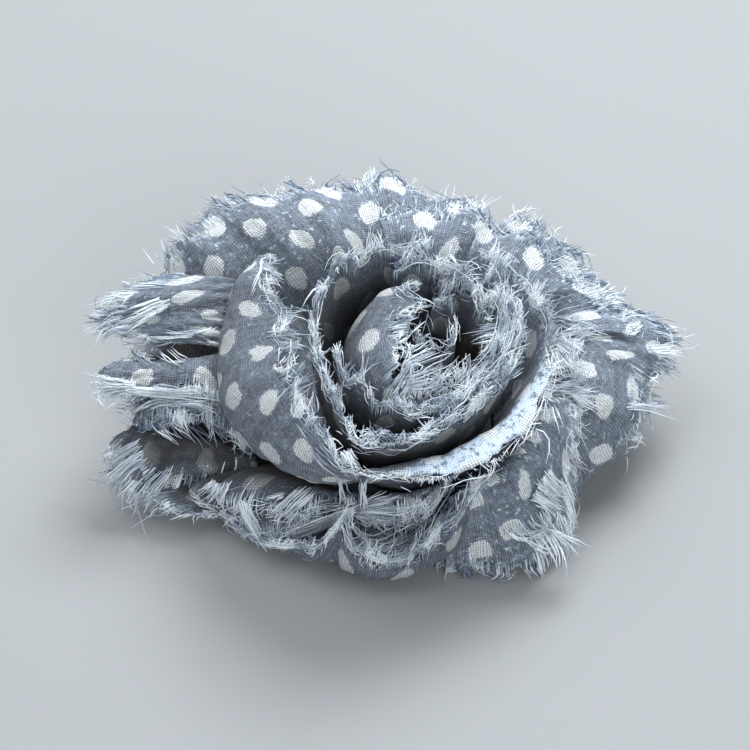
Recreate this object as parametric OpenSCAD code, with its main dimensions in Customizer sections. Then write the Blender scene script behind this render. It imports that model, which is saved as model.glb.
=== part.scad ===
// Flower clip: a rose coiled and ruffled from strips of frayed chiffon, sewn to
// a round foot, on a plain hair clip. Millimetres, +Z up, the flower's front
// towards -Y. The origin is on the face that the clip lies on, under the middle
// of the flower's foot.

/* [Flower] */
// Thickness of the cloth walls
cloth = 1; // [0.8:0.1:1.1]
// How far the frayed locks stand proud of a lip, and how deep they are cut
fray = 1.2; // [0:0.1:1.5]
// Height of the foot's top above the surface, at its middle
foot_height = 9; // [9:0.5:12]
// Lean of the flower towards its front, in degrees
lean_front = 8; // [4:1:9]
// Lean of the flower to its right, in degrees
lean_right = 4; // [0:1:5]

/* [Sewn foot] */
// Radius of the gathered and sewn foot
foot_radius = 12.4; // [12:0.1:12.5]
// Thickness of the sewn foot
foot_thick = 3; // [2.5:0.1:3.2]
// Rounding of the sewn foot's edge
foot_round = 0.8; // [0.4:0.1:1.2]

/* [Clip] */
// Length of the clip, from its tip to its tail
clip_length = 42; // [38:1:44]
// Width of the clip's arms
clip_width = 11; // [10:0.5:14]
// Thickness of each arm
arm_thick = 1.8; // [1.4:0.1:2]
// Distance of the clip's tip in front of the flower's axis
tip_reach = 13; // [10:0.5:13]
// Radius of the barrel that joins the arms
barrel_radius = 2.6; // [2.2:0.1:2.8]
// Distance of the barrel behind the flower's axis
barrel_reach = 20; // [18:1:22]
// Gap between the clip and the flower's foot
seat_gap = 0.3; // [0.2:0.1:0.5]

/* [Facets] */
// Columns of facets from one row of a strip's table to the next
columns = 4; // [2:1:5]
// Bands of facets across a strip, from its foot to its lip
bands = 4; // [3:1:6]

/* [Hidden] */

// Colours of the lit cloth, the shaded cloth of the coils and the metal
petal_grey = [0.40, 0.42, 0.47];
coil_grey = [0.32, 0.33, 0.37];
foot_grey = [0.22, 0.22, 0.25];
metal_grey = [0.72, 0.73, 0.75];

// How far the barrel's round is let into the clip's lower arm
barrel_bite = 0.4;
// Facets round the clip's round ends and barrel, and round the sewn foot
clip_facets = 48;
foot_facets = 96;

// Every strip is sewn along its foot and free along its frayed lip. A row of its
// table is one section across it, and its columns are, in the flower's frame:
// angle of the foot and the belly, foot radius, foot height, belly radius,
// belly height, angle of the lip, lip radius, lip height.
// The belly is the point that the section bends towards.
A = 0;
FOOT_R = 1;
FOOT_H = 2;
BELLY_R = 3;
BELLY_H = 4;
LIP_A = 5;
LIP_R = 6;
LIP_H = 7;

// The coil, from its heart outwards: each turn stands inside the next
heart_rows = [
    [200, 1.5, 0.5,  1.5,  9.0, 100,  3.1, 16.5],
    [240, 1.5, 0.5,  2.0,  9.0,  86,  1.3, 16.2],
    [280, 1.5, 0.5,  2.6,  9.0,  25,  1.9, 16.2],
    [325, 1.5, 0.5,  4.2,  9.0,  19,  3.9, 16.6],
    [370, 1.5, 0.5,  5.4,  9.5,  41,  5.7, 17.2],
    [410, 1.5, 0.5,  5.8, 10.0,  56,  6.7, 17.6],
    [445, 1.5, 0.5,  5.4, 10.0,  73,  6.7, 17.6]
];
inner_turn_rows = [
    [ 95, 4.0, 0.5,  8.5, 10.0,  92,  9.0, 17.2],
    [120, 4.0, 0.5, 10.0, 12.0, 103,  8.2, 18.4],
    [145, 4.0, 0.5, 11.0, 13.0, 100,  5.2, 18.8],
    [175, 4.0, 0.5, 11.5, 13.0, 118,  2.6, 18.6],
    [205, 4.0, 0.5, 11.0, 12.0, 215,  2.8, 18.0],
    [235, 4.0, 0.5,  9.0, 11.0, 252,  4.6, 17.0],
    [270, 4.0, 0.5,  7.8, 10.0, 275,  5.6, 16.5],
    [305, 4.0, 0.5,  7.0, 10.0, 305,  6.0, 16.8],
    [340, 4.0, 0.5,  6.5, 10.0, 342,  6.2, 17.2]
];
third_turn_rows = [
    [185, 6.1, 0.5, 10.2,  9.0, 185, 10.0, 17.0],
    [205, 6.1, 0.5, 10.0,  9.0, 205,  9.6, 17.2],
    [228, 6.1, 0.5,  9.6,  9.0, 228,  9.1, 16.8],
    [255, 6.1, 0.5,  9.2,  9.0, 255,  8.8, 16.6],
    [286, 6.1, 0.5,  8.6,  9.0, 286,  8.8, 16.9],
    [318, 6.1, 0.5,  8.2,  9.0, 318,  8.4, 17.3],
    [352, 6.1, 0.5,  8.6,  9.0, 352,  9.2, 17.5],
    [381, 6.1, 0.5,  9.4,  9.0, 381, 10.3, 18.0],
    [410, 6.1, 0.5, 10.2,  9.0, 410, 11.4, 18.0],
    [438, 6.1, 0.5, 10.6,  9.0, 438, 11.9, 18.0],
    [465, 6.1, 0.5, 10.6,  9.0, 465, 11.6, 18.0]
];
second_turn_rows = [
    [ 88, 8.2, 0.5, 12.6, 10.0,  85, 15.0, 17.0],
    [108, 8.2, 0.5, 12.8, 10.0, 108, 13.8, 18.0],
    [132, 8.2, 0.5, 13.4, 10.0, 132, 14.2, 18.5],
    [158, 8.2, 0.5, 13.6, 10.0, 158, 13.2, 19.0],
    [184, 8.2, 0.5, 13.4, 10.0, 184, 12.5, 19.0],
    [206, 8.2, 0.5, 13.2, 10.0, 206, 12.9, 19.0],
    [226, 8.2, 0.5, 13.4, 10.0, 226, 13.7, 18.5],
    [242, 8.2, 0.5, 13.4, 11.0, 242, 15.6, 17.7],
    [260, 8.2, 0.5, 12.0, 11.0, 260, 14.1, 17.5],
    [284, 8.2, 0.5, 10.6, 10.0, 284, 11.2, 17.5],
    [314, 8.2, 0.5, 10.2, 10.0, 314, 10.2, 17.5],
    [342, 8.2, 0.5, 10.6, 10.0, 342, 10.9, 17.5],
    [366, 8.2, 0.5, 11.2, 10.0, 366, 12.1, 18.0],
    [390, 8.2, 0.5, 12.0, 10.0, 390, 13.0, 18.0],
    [412, 8.2, 0.5, 12.4, 10.0, 412, 13.6, 18.0]
];
outer_turn_rows = [
    [140, 10.3, 0.8, 31.0,  9.0, 140, 23.0, 14.0],
    [152, 10.3, 0.8, 33.0,  9.0, 152, 20.7, 16.0],
    [166, 10.3, 0.8, 34.0,  8.5, 166, 17.0, 17.0],
    [183, 10.3, 0.8, 34.0,  8.0, 183, 15.6, 18.0],
    [199, 10.3, 0.8, 32.0,  7.0, 199, 16.2, 18.0],
    [213, 10.3, 0.8, 27.0,  6.5, 213, 16.8, 17.4],
    [229, 10.3, 0.8, 22.0,  7.0, 229, 17.4, 17.0],
    [245, 10.3, 0.8, 17.5, 11.0, 245, 18.8, 16.0],
    [261, 10.3, 0.8, 14.5, 13.5, 261, 17.8, 15.5],
    [281, 10.3, 0.8, 13.0, 13.5, 281, 15.2, 15.5],
    [308, 10.3, 0.8, 12.0, 13.5, 308, 13.7, 16.0],
    [337, 10.3, 0.8, 12.4, 13.5, 337, 14.2, 16.0],
    [361, 10.3, 0.8, 13.4, 12.0, 361, 15.6, 16.0],
    [384, 10.3, 0.8, 13.8, 11.0, 384, 16.4, 16.0],
    [406, 10.3, 0.8, 13.8, 10.0, 406, 17.2, 16.0],
    [430, 10.3, 0.8, 13.8, 10.0, 428, 17.8, 15.5]
];

// The ruffles between the coil and the petals, sewn high on the foot's edge
upper_front_ruffle_rows = [
    [210, 13.2,-0.8, 19.0, -1.0, 207, 23.0,  0.4],
    [219, 13.2,-0.8, 18.5, -0.5, 218, 21.4,  2.0],
    [228, 13.2,-0.8, 18.0,  0.0, 228, 19.8,  3.6],
    [238, 13.2,-0.8, 17.5,  1.0, 238, 18.4,  6.2],
    [248, 13.2,-0.8, 16.8,  2.0, 248, 17.4,  8.6],
    [257, 13.2,-0.8, 17.2,  1.5, 257, 18.0,  6.4],
    [266, 13.2,-0.8, 16.0,  3.0, 266, 16.4,  9.4],
    [276, 13.2,-0.8, 17.0,  2.0, 276, 17.4,  7.0],
    [287, 13.2,-0.8, 15.6,  3.5, 287, 15.8, 10.0]
];
upper_back_ruffle_rows = [
    [36, 12.0, 0.5, 17.5, 14.0,  38, 25.5, 10.0],
    [46, 12.0, 0.5, 17.0, 16.0,  48, 24.5, 11.4],
    [55, 12.0, 0.5, 17.0, 17.0,  57, 25.2, 12.4],
    [64, 12.0, 0.5, 17.0, 16.0,  65, 24.0, 11.6],
    [73, 12.0, 0.5, 17.0, 18.0,  73, 24.8, 13.0],
    [82, 12.0, 0.5, 17.0, 17.0,  82, 23.6, 12.0],
    [91, 12.0, 0.5, 17.0, 18.0,  91, 23.6, 13.0],
    [101, 12.0, 0.5, 16.6, 17.0, 102, 22.6, 12.8]
];

// The petals round the edge, sewn low on the foot's edge
back_petal_rows = [
    [76, 13.2,-2.2, 20.0, 11.0,  72, 29.4,  8.0],
    [85, 13.2,-2.2, 20.0, 13.0,  84, 28.6,  9.4],
    [95, 13.2,-2.2, 20.0, 13.0,  96, 31.0, 10.0],
    [106, 13.2,-2.2, 19.5, 14.5, 107, 30.6,  9.6],
    [116, 13.2,-2.2, 18.0, 18.0, 118, 32.2, 10.0],
    [125, 13.2,-2.2, 19.0, 15.0, 127, 34.6,  8.8],
    [133, 13.2,-2.2, 22.0, 10.0, 134, 37.8,  8.2],
    [141, 13.2,-2.4, 26.0,  4.0, 139, 39.6,  6.0],
    [148, 13.2,-2.4, 28.0, -1.0, 144, 39.4,  2.6],
    [155, 13.2,-2.4, 28.0, -4.0, 147, 37.0, -1.0]
];
left_ruffle_rows = [
    [152, 13.2,-0.8, 28.0,  6.0, 151, 36.5,  6.8],
    [157, 13.2,-0.8, 30.0,  6.2, 157, 38.0,  8.4],
    [162, 13.2,-0.8, 30.0,  6.0, 163, 38.8,  8.6],
    [166, 13.2,-0.8, 28.0,  4.8, 167, 37.8,  6.4],
    [170, 13.2,-0.8, 27.0,  3.4, 171, 34.8,  2.6],
    [174, 13.2,-0.8, 27.0,  3.6, 175, 36.6,  4.4],
    [178, 13.2,-0.8, 28.0,  3.8, 178, 38.6,  6.2],
    [182, 13.2,-0.8, 27.0,  2.8, 182, 36.4,  3.0],
    [186, 13.2,-0.8, 26.0,  1.6, 185, 33.6,  0.4],
    [190, 13.2,-0.8, 26.0,  0.8, 188, 36.4,  2.4],
    [194, 13.2,-0.8, 26.0, -0.4, 192, 37.4, -0.4],
    [198, 13.2,-0.8, 25.0, -1.4, 196, 35.8, -2.4],
    [202, 13.2,-0.8, 23.0, -1.6, 199, 31.4, -2.4],
    [206, 13.2,-0.8, 20.0, -1.2, 202, 26.4, -2.6]
];
front_ruffle_rows = [
    [203, 13.6,-2.2, 22.0, -5.0, 203, 25.4, -3.6],
    [213, 13.6,-2.2, 24.0, -6.0, 213, 24.6, -3.0],
    [222, 13.6,-2.2, 25.0, -6.0, 222, 23.2, -0.6],
    [231, 13.6,-2.2, 24.5, -6.0, 231, 21.6,  4.0],
    [241, 13.6,-2.2, 25.0, -6.5, 241, 19.8,  7.4],
    [250, 13.6,-2.2, 25.0, -7.0, 250, 19.8,  4.6],
    [258, 13.6,-2.2, 23.0, -7.0, 258, 20.2,  2.0],
    [268, 13.6,-2.2, 22.0, -7.0, 268, 20.0,  3.6],
    [278, 13.6,-2.2, 22.0, -6.5, 278, 19.0,  6.2],
    [290, 13.6,-2.2, 22.0, -6.0, 290, 18.2,  8.0]
];
right_ruffle_rows = [
    [295, 13.2,-2.2, 14.6, 17.0, 296, 19.2, -3.4],
    [301, 13.2,-2.2, 14.6, 19.0, 301, 20.0, -3.8],
    [309, 13.2,-2.2, 14.4, 20.0, 309, 21.2, -3.8],
    [317, 13.2,-2.2, 14.4, 20.0, 317, 22.6, -4.0],
    [327, 13.2,-2.2, 14.6, 20.0, 327, 21.6, -2.2],
    [337, 13.2,-2.2, 15.0, 19.0, 337, 21.4, -3.4],
    [346, 13.2,-2.2, 16.0, 18.0, 347, 23.0, -4.8],
    [354, 13.2,-2.2, 17.0, 17.0, 355, 25.2, -3.6],
    [362, 13.2,-2.2, 18.0, 16.0, 363, 29.4, -1.8],
    [370, 13.2,-2.2, 18.0, 15.0, 373, 31.4, -0.8]
];
side_ruffle_rows = [
    [378, 13.2,-2.2, 19.0, 17.0, 371, 30.4,  3.0],
    [383, 13.2,-2.2, 20.0, 16.0, 376, 33.6,  2.4],
    [388, 13.2,-2.2, 20.0, 15.0, 381, 35.6,  2.8],
    [394, 13.2,-2.2, 20.0, 13.5, 388, 33.6,  2.6],
    [400, 13.2,-2.2, 20.0, 13.0, 395, 31.4,  4.6],
    [406, 13.2,-2.2, 20.0, 12.0, 402, 31.0,  4.2],
    [412, 13.2,-2.2, 20.0, 12.0, 409, 30.4,  6.8],
    [419, 13.2,-2.2, 20.0, 12.0, 418, 31.2,  6.0],
    [426, 13.2,-2.2, 20.0, 12.0, 426, 29.6,  8.4]
];

// Smooth curve through four neighbouring rows, from the second to the third
function between(a, b, c, d, t) =
    0.5 * (2 * b + (c - a) * t + (2 * a - 5 * b + 4 * c - d) * t * t
        + (3 * b - a - 3 * c + d) * t * t * t);

// A strip's section at t rows from its start
function section(rows, t) =
    let (last = len(rows) - 1, i = min(floor(t), last - 1))
    between(rows[max(i - 1, 0)], rows[i], rows[i + 1], rows[min(i + 2, last)], t - i);

function polar(radius, angle, height) =
    [radius * cos(angle), radius * sin(angle), height];

// Point of a section at s across it: 0 at the foot, 1 at the lip
function across(row, s) =
    (1 - s) * (1 - s) * polar(row[FOOT_R], row[A], row[FOOT_H])
    + 2 * s * (1 - s) * polar(row[BELLY_R], row[A], row[BELLY_H])
    + s * s * polar(row[LIP_R], row[LIP_A], row[LIP_H]);

// The cloth's middle surface as a grid, its lip cut into frayed locks
function cloth_grid(rows) = [
    for (i = [0 : columns * (len(rows) - 1)])
        let (row = section(rows, i / columns), lip = across(row, 1))
        let (out = lip - across(row, 1 - 1 / bands), lock = i % 2 == 0 ? fray : -fray / 2)
        [for (j = [0 : bands]) j < bands ? across(row, j / bands) : lip + lock * out / norm(out)]
];

// Unit normal of a grid at column i and band j
function normal(grid, i, j) =
    let (n = len(grid) - 1, m = len(grid[0]) - 1)
    let (along = grid[min(i + 1, n)][j] - grid[max(i - 1, 0)][j])
    let (over = grid[i][min(j + 1, m)] - grid[i][max(j - 1, 0)])
    let (c = cross(along, over))
    c / norm(c);

// A closed wall of cloth round the strip's middle surface
module strip(rows) {
    grid = cloth_grid(rows);
    n = len(grid) - 1;
    m = bands;
    w = m + 1;
    side = (n + 1) * w;
    points = [
        for (face = [1, -1], i = [0 : n], j = [0 : m])
            grid[i][j] + face * cloth / 2 * normal(grid, i, j)
    ];
    upper = [
        for (i = [0 : n - 1], j = [0 : m - 1], half = [0, 1])
            let (p = i * w + j)
            half == 0 ? [p, p + 1, p + w + 1] : [p, p + w + 1, p + w]
    ];
    lower = [for (f = upper) [f[0] + side, f[2] + side, f[1] + side]];
    rim = concat(
        [for (j = [0 : m - 1]) [j, j + 1]],
        [for (i = [0 : n - 1]) [i * w + m, (i + 1) * w + m]],
        [for (j = [m : -1 : 1]) [n * w + j, n * w + j - 1]],
        [for (i = [n : -1 : 1]) [i * w, (i - 1) * w]]
    );
    edge = [
        for (e = rim, half = [0, 1])
            half == 0 ? [e[1], e[0], e[0] + side] : [e[1], e[0] + side, e[1] + side]
    ];
    polyhedron(points = points, faces = concat(upper, lower, edge), convexity = 8);
}

// The flower's frame: its axis leans, and its zero is the top of the sewn foot
module flower_frame() {
    translate([0, 0, foot_height])
        rotate([lean_front, 0, 0])
            rotate([0, lean_right, 0])
                children();
}

// A flat arm with round ends, from y = start to y = start + length
module arm(start, length, thick) {
    radius = clip_width / 2;
    translate([-radius, start + radius, 0])
        cube([clip_width, length - clip_width, thick]);
    for (y = [start + radius, start + length - radius])
        translate([0, y, 0])
            cylinder(r = radius, h = thick, $fn = clip_facets);
}

// Plain spring clip in one piece: the lower arm lies flat, the upper arm carries
// the flower, and a barrel joins them
module clip() {
    color(metal_grey) {
        arm(-tip_reach, clip_length, arm_thick);
        flower_frame()
            translate([0, 0, -foot_thick - seat_gap - arm_thick])
                arm(-tip_reach, clip_length, arm_thick);
        translate([-clip_width / 2, barrel_reach, arm_thick - barrel_bite + barrel_radius])
            rotate([0, 90, 0])
                cylinder(r = barrel_radius, h = clip_width, $fn = clip_facets);
    }
}

// The foot of the strips, gathered and sewn into a round pad
module sewn_foot() {
    color(foot_grey)
        flower_frame()
            translate([0, 0, -foot_thick])
                rotate_extrude($fn = foot_facets)
                    polygon([[0, 0], [foot_radius - foot_round, 0], [foot_radius, foot_round],
                        [foot_radius, foot_thick - foot_round],
                        [foot_radius - foot_round, foot_thick], [0, foot_thick]]);
}

module heart() { color(coil_grey) flower_frame() strip(heart_rows); }
module inner_turn() { color(coil_grey) flower_frame() strip(inner_turn_rows); }
module third_turn() { color(coil_grey) flower_frame() strip(third_turn_rows); }
module second_turn() { color(coil_grey) flower_frame() strip(second_turn_rows); }
module outer_turn() { color(coil_grey) flower_frame() strip(outer_turn_rows); }
module upper_front_ruffle() { color(petal_grey) flower_frame() strip(upper_front_ruffle_rows); }
module upper_back_ruffle() { color(petal_grey) flower_frame() strip(upper_back_ruffle_rows); }
module back_petal() { color(petal_grey) flower_frame() strip(back_petal_rows); }
module left_ruffle() { color(petal_grey) flower_frame() strip(left_ruffle_rows); }
module front_ruffle() { color(petal_grey) flower_frame() strip(front_ruffle_rows); }
module right_ruffle() { color(petal_grey) flower_frame() strip(right_ruffle_rows); }
module side_ruffle() { color(petal_grey) flower_frame() strip(side_ruffle_rows); }

clip();
sewn_foot();
heart();
inner_turn();
third_turn();
second_turn();
outer_turn();
upper_front_ruffle();
upper_back_ruffle();
back_petal();
left_ruffle();
front_ruffle();
right_ruffle();
side_ruffle();
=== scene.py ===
import math

import bpy
import numpy as np
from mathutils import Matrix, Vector


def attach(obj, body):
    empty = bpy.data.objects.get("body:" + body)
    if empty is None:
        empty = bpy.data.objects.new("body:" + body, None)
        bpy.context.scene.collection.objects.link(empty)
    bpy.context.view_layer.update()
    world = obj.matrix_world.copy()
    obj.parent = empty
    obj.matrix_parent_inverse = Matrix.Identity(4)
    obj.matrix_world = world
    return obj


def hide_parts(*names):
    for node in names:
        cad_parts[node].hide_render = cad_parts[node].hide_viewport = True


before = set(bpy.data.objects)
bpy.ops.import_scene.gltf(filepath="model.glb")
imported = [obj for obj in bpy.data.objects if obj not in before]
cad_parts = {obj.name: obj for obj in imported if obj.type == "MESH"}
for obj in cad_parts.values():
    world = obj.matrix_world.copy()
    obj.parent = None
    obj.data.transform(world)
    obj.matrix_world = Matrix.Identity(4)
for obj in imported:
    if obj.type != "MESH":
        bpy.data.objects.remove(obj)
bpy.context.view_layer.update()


# The clip: two flat spring-steel arms and the barrel that joins them, blanked and
# bent from strip, tumbled bright and left bare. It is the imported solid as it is,
# with a finish of fine brushed lines along the arms.

STEEL_BRIGHT = (0.60, 0.61, 0.63, 1)
STEEL_DULL = (0.46, 0.46, 0.47, 1)
BRUSHED_LINES = (9000, 300, 9000)  # lines to a metre across, along and through the arms


class Wire:
    """An output in a material: arithmetic on it adds Math nodes, node() any other node."""

    def __init__(self, tree, output=None):
        self.tree = tree
        self.output = output

    def node(self, kind, settings=None, inputs=None, output=0):
        """Adds a node: its settings are set first, then the values or links of its sockets."""
        made = self.tree.nodes.new("ShaderNode" + kind)
        for name, value in (settings or {}).items():
            setattr(made, name, value)
        for name, value in (inputs or {}).items():
            if isinstance(value, Wire):
                self.tree.links.new(value.output, made.inputs[name])
            else:
                made.inputs[name].default_value = value
        return Wire(self.tree, made.outputs[output])

    def math(self, operation, *others):
        """Adds a Math node on this wire, and on any others that it takes."""
        return self.node("Math", {"operation": operation}, dict(enumerate((self, *others))))

    def __add__(self, other):
        return self.math("ADD", other)

    def __sub__(self, other):
        return self.math("SUBTRACT", other)

    def __rsub__(self, other):
        return self * -1 + other

    def __mul__(self, other):
        return self.math("MULTIPLY", other)

    def __truediv__(self, other):
        return self.math("DIVIDE", other)

    __radd__ = __add__
    __rmul__ = __mul__

    def step(self, low, high):
        """Rises smoothly from 0 at low to 1 at high."""
        span = {"interpolation_type": "SMOOTHSTEP"}
        return self.node("MapRange", span, {"Value": self, "From Min": low, "From Max": high})

    def mix(self, first, second):
        """Colour from the first, where this is 0, to the second, where it is 1."""
        return self.node("Mix", {"data_type": "RGBA"}, {"Factor": self, 6: first, 7: second}, 2)

    def noise(self, scale, detail, roughness=0.5):
        """Cloudy noise at this place, from 0 to 1, with so many clouds to a unit."""
        inputs = {"Vector": self, "Scale": scale, "Detail": detail, "Roughness": roughness}
        return self.node("TexNoise", {}, inputs)

    def bump(self, strength, distance):
        """A normal from this height, of which 1 stands for distance in metres."""
        return self.node("Bump", {}, {"Height": self, "Strength": strength, "Distance": distance})


def surface_material(name, roughness, metallic=0.0, sheen=0.0):
    """A new material: its wire to build on, and its Principled shader."""
    material = bpy.data.materials.new(name)
    material.use_nodes = True
    shader = material.node_tree.nodes["Principled BSDF"]
    shader.inputs["Roughness"].default_value = roughness
    shader.inputs["Metallic"].default_value = metallic
    shader.inputs["Sheen Weight"].default_value = sheen
    return material, Wire(material.node_tree), shader


def plug(shader, socket, wire):
    """Links a wire to one of the shader's sockets."""
    wire.tree.links.new(wire.output, shader.inputs[socket])


def brushed_steel():
    """Bright strip steel: long fine lines along Y vary its roughness, and soft spots its tint."""
    material, wire, shader = surface_material("brushed_steel", 0.32, metallic=1.0)
    place = wire.node("TexCoord", output="Object")
    lines = place.node("Mapping", {}, {"Vector": place, "Scale": BRUSHED_LINES})
    grain = lines.noise(1.0, 3.0)
    spots = place.noise(260.0, 4.0)
    plug(shader, "Base Color", spots.step(0.35, 0.75).mix(STEEL_BRIGHT, STEEL_DULL))
    plug(shader, "Roughness", 0.24 + grain * 0.2)
    plug(shader, "Normal", grain.bump(0.15, 0.0001))
    return material


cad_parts["clip"].material_slots[0].material = brushed_steel()


# The sewn foot: the gathered lower edges of all the strips, rolled into a flat round
# pad and caught through with thread. It is a turned profile with fine pleats that
# run from its middle over its edge, in the same dark cloth.

MM = 0.001
FOOT_HEIGHT = 9.0
LEAN_FRONT = math.radians(8)
LEAN_RIGHT = math.radians(4)
FOOT_RADIUS = 12.4
FOOT_THICK = 3.0
FOOT_PLEAT = 0.16  # mm that the pad's pleats stand out
PLEAT_APART = 5.0  # degrees from one of the pad's pleats to the next
WEAVE = 0.32  # mm from one thread of the chiffon to the next
FOOT_DARK = (0.016, 0.016, 0.020, 1)
FOOT_DUSTY = (0.085, 0.088, 0.105, 1)


def flower_frame(points):
    """Points of the leaning flower, in mm from the top of its foot, to metres in the part's frame."""
    front, side = (math.cos(LEAN_FRONT), math.sin(LEAN_FRONT)), (math.cos(LEAN_RIGHT), math.sin(LEAN_RIGHT))
    about_y = np.array([[side[0], 0, side[1]], [0, 1, 0], [-side[1], 0, side[0]]])
    about_x = np.array([[1, 0, 0], [0, front[0], -front[1]], [0, front[1], front[0]]])
    return (points @ (about_x @ about_y).T + (0, 0, FOOT_HEIGHT)) * MM


def polar(radius, angle, height):
    """Points round the flower's axis, from arrays of radii, degrees and heights."""
    return np.stack([radius * np.cos(np.radians(angle)), radius * np.sin(np.radians(angle)), height], -1)


def ripple(x, pitch, seed):
    """Uneven waves about a pitch apart, from -1 to 1: three sines of unlike lengths and phases."""
    random = np.random.default_rng(seed)
    lengths, phases = random.uniform(0.7, 1.4, 3) * pitch, random.uniform(0, 2 * np.pi, 3)
    return sum(np.sin(2 * np.pi * x / a + b) for a, b in zip(lengths, phases)) / 3


def new_piece(name, points, faces, maps, material):
    """A smooth mesh object from arrays of points in metres and faces, with a UV map for each
    of maps, whose values are given for each point."""
    mesh = bpy.data.meshes.new(name)
    mesh.from_pydata(points, [], faces)
    corner = np.empty(len(mesh.loops), np.int32)
    mesh.loops.foreach_get("vertex_index", corner)
    for title, values in maps.items():
        layer = mesh.uv_layers.new(name=title)
        layer.uv.foreach_set("vector", values[corner].astype(np.float32).ravel())
    mesh.shade_smooth()
    mesh.materials.append(material)
    piece = bpy.data.objects.new(name, mesh)
    bpy.context.scene.collection.objects.link(piece)
    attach(piece, "root")
    return piece


def map_parts(wire, name):
    """A UV map of the piece, and the map's two numbers apart."""
    place = wire.node("UVMap", {"uv_map": name})
    first = place.node("SeparateXYZ", {}, {"Vector": place})
    return place, first, Wire(wire.tree, first.output.node.outputs["Y"])


def thread_profile(across):
    """Height of the threads of a plain weave across them, 0 between two threads and 1 on one."""
    return (across * (math.pi / WEAVE)).math("SINE").math("ABSOLUTE")


def felted_cloth():
    """Dark gathered cloth: a fine weave on the pad's own map, paler with dust on its ridges."""
    material, wire, shader = surface_material("gathered_foot", 0.85, sheen=0.3)
    place, along, across = map_parts(wire, "weave")
    weave = thread_profile(along) * thread_profile(across)
    wear = place.noise(0.6, 5.0)
    plug(shader, "Base Color", (weave * 0.6 + wear * 0.6).step(0.2, 0.9).mix(FOOT_DARK, FOOT_DUSTY))
    plug(shader, "Normal", weave.bump(0.4, 0.00008))
    return material


def grid_faces(number):
    """Four-sided faces between the neighbours in a grid of points' numbers."""
    return np.stack([number[:-1, :-1], number[1:, :-1], number[1:, 1:], number[:-1, 1:]], -1).reshape(-1, 4)


def foot_surface(turn, across):
    """Pad's skin: across runs from the top's middle (0) over the edge to the bottom's middle (1);
    the profile is a flat slab with a round edge, and pleats grow with the radius."""
    half = FOOT_THICK / 2
    flat = FOOT_RADIUS - half
    profile = 2 * flat + math.pi * half
    along = across * profile
    edge = np.clip((along - flat) / half, 0, math.pi)
    radius = np.where(along < flat, along, np.where(edge < math.pi, flat, profile - along))
    radius = radius + half * np.sin(edge) * (edge > 0) * (edge < math.pi)
    height = -half + half * np.cos(edge)
    pleat = FOOT_PLEAT * ripple(turn * 360, PLEAT_APART, 3) * np.clip(radius / FOOT_RADIUS, 0, 1)
    return polar(radius + pleat, turn * 360, height + np.where(across > 0.5, -pleat, pleat * 0.3))


def foot_piece():
    """The pad as a closed mesh: rings from pole to pole, the poles one point each."""
    turns, rings = 240, 47
    turn, across = np.meshgrid(np.arange(turns) / turns, np.linspace(0, 1, rings + 2)[1:-1], indexing="ij")
    skin = foot_surface(turn, across).reshape(-1, 3)
    poles = foot_surface(np.zeros(2), np.array([0.0, 1.0]))
    number = np.arange(turns * rings).reshape(turns, rings)
    number = np.concatenate([number, number[:1]])
    pole = np.full(turns, len(skin))
    top = np.stack([pole, number[:-1, 0], number[1:, 0]], -1)
    base = np.stack([pole + 1, number[1:, -1], number[:-1, -1]], -1)
    faces = grid_faces(number.T).tolist() + top.tolist() + base.tolist()
    points = np.concatenate([skin, poles])
    return new_piece("foot_gathers", flower_frame(points), faces, {"weave": points[:, :2]}, felted_cloth())


foot = foot_piece()
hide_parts("sewn_foot")


# The back petal: one trumpet-shaped ruffle of sheer dotted chiffon behind the cup.
# Every petal, ruffle and turn is such a strip, torn from charcoal chiffon with woven
# white dots, gathered and sewn along its foot and left raw and frayed along its lip.

CHIFFON_THICK = 0.24
LEAST_SHARE = 0.76  # of a strip's flat area that its surface has: the rest is in the finest gathers
FOLDS_APART = 8.0  # mm from one soft fold of a strip to the next
GATHERS_APART = 2.9  # mm from one gather at its foot to the next
CURL_FROM = 0.65  # how far across it its lip starts to roll over
FLARE_FROM = 0.72  # how far across it its lip starts to lean out
DOT_PITCH = 8.4  # mm between dots that stand side by side
DOT_RADIUS = 1.55
DOT_BLUR = 0.12  # mm to each side of a dot's edge over which it fades
CHARCOAL, WORN = (0.072, 0.075, 0.084, 1), (0.290, 0.340, 0.420, 1)
LINT = (0.63, 0.73, 0.85, 1)  # pale fluff on the cloth
DOT_GREY, DOT_WHITE, FRAYED_DOT = (0.22, 0.23, 0.25, 1), (0.84, 0.85, 0.84, 1), (0.92, 0.93, 0.93, 1)
EDGE_BLUE, EDGE_WHITE = (0.10, 0.150, 0.235, 1), (0.82, 0.90, 0.98, 1)
PAINTED_SHADE_DARK = (0.024, 0.020, 0.019, 1)  # painted shade: the colour the cloth is darkened to in a hollow
THREAD_BLUE, THREAD_WHITE = (0.08, 0.135, 0.235, 1), (0.92, 0.965, 1.0, 1)


def woven_dots(along, across, ragged):
    """1 in the staggered dots and 0 between them: the nearer of two square grids of dots, on
    threads' own steps, with a ragged edge."""
    nearest = []
    for shift in (0.0, 0.5):
        offsets = []
        for side in (along, across):
            thread = (side / WEAVE).math("FLOOR") * WEAVE
            offset = (thread / DOT_PITCH + shift).math("FRACT") - 0.5
            offsets.append(offset * offset)
        nearest.append((offsets[0] + offsets[1]).math("SQRT") * DOT_PITCH)
    distance = nearest[0].math("MINIMUM", nearest[1]) + ragged
    return 1 - distance.step(DOT_RADIUS - DOT_BLUR, DOT_RADIUS + DOT_BLUR)


def thread_chance(number):
    """A random number from 0 to 1 for each thread's number."""
    return number.node("TexWhiteNoise", {"noise_dimensions": "1D"}, {"W": number})


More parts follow.
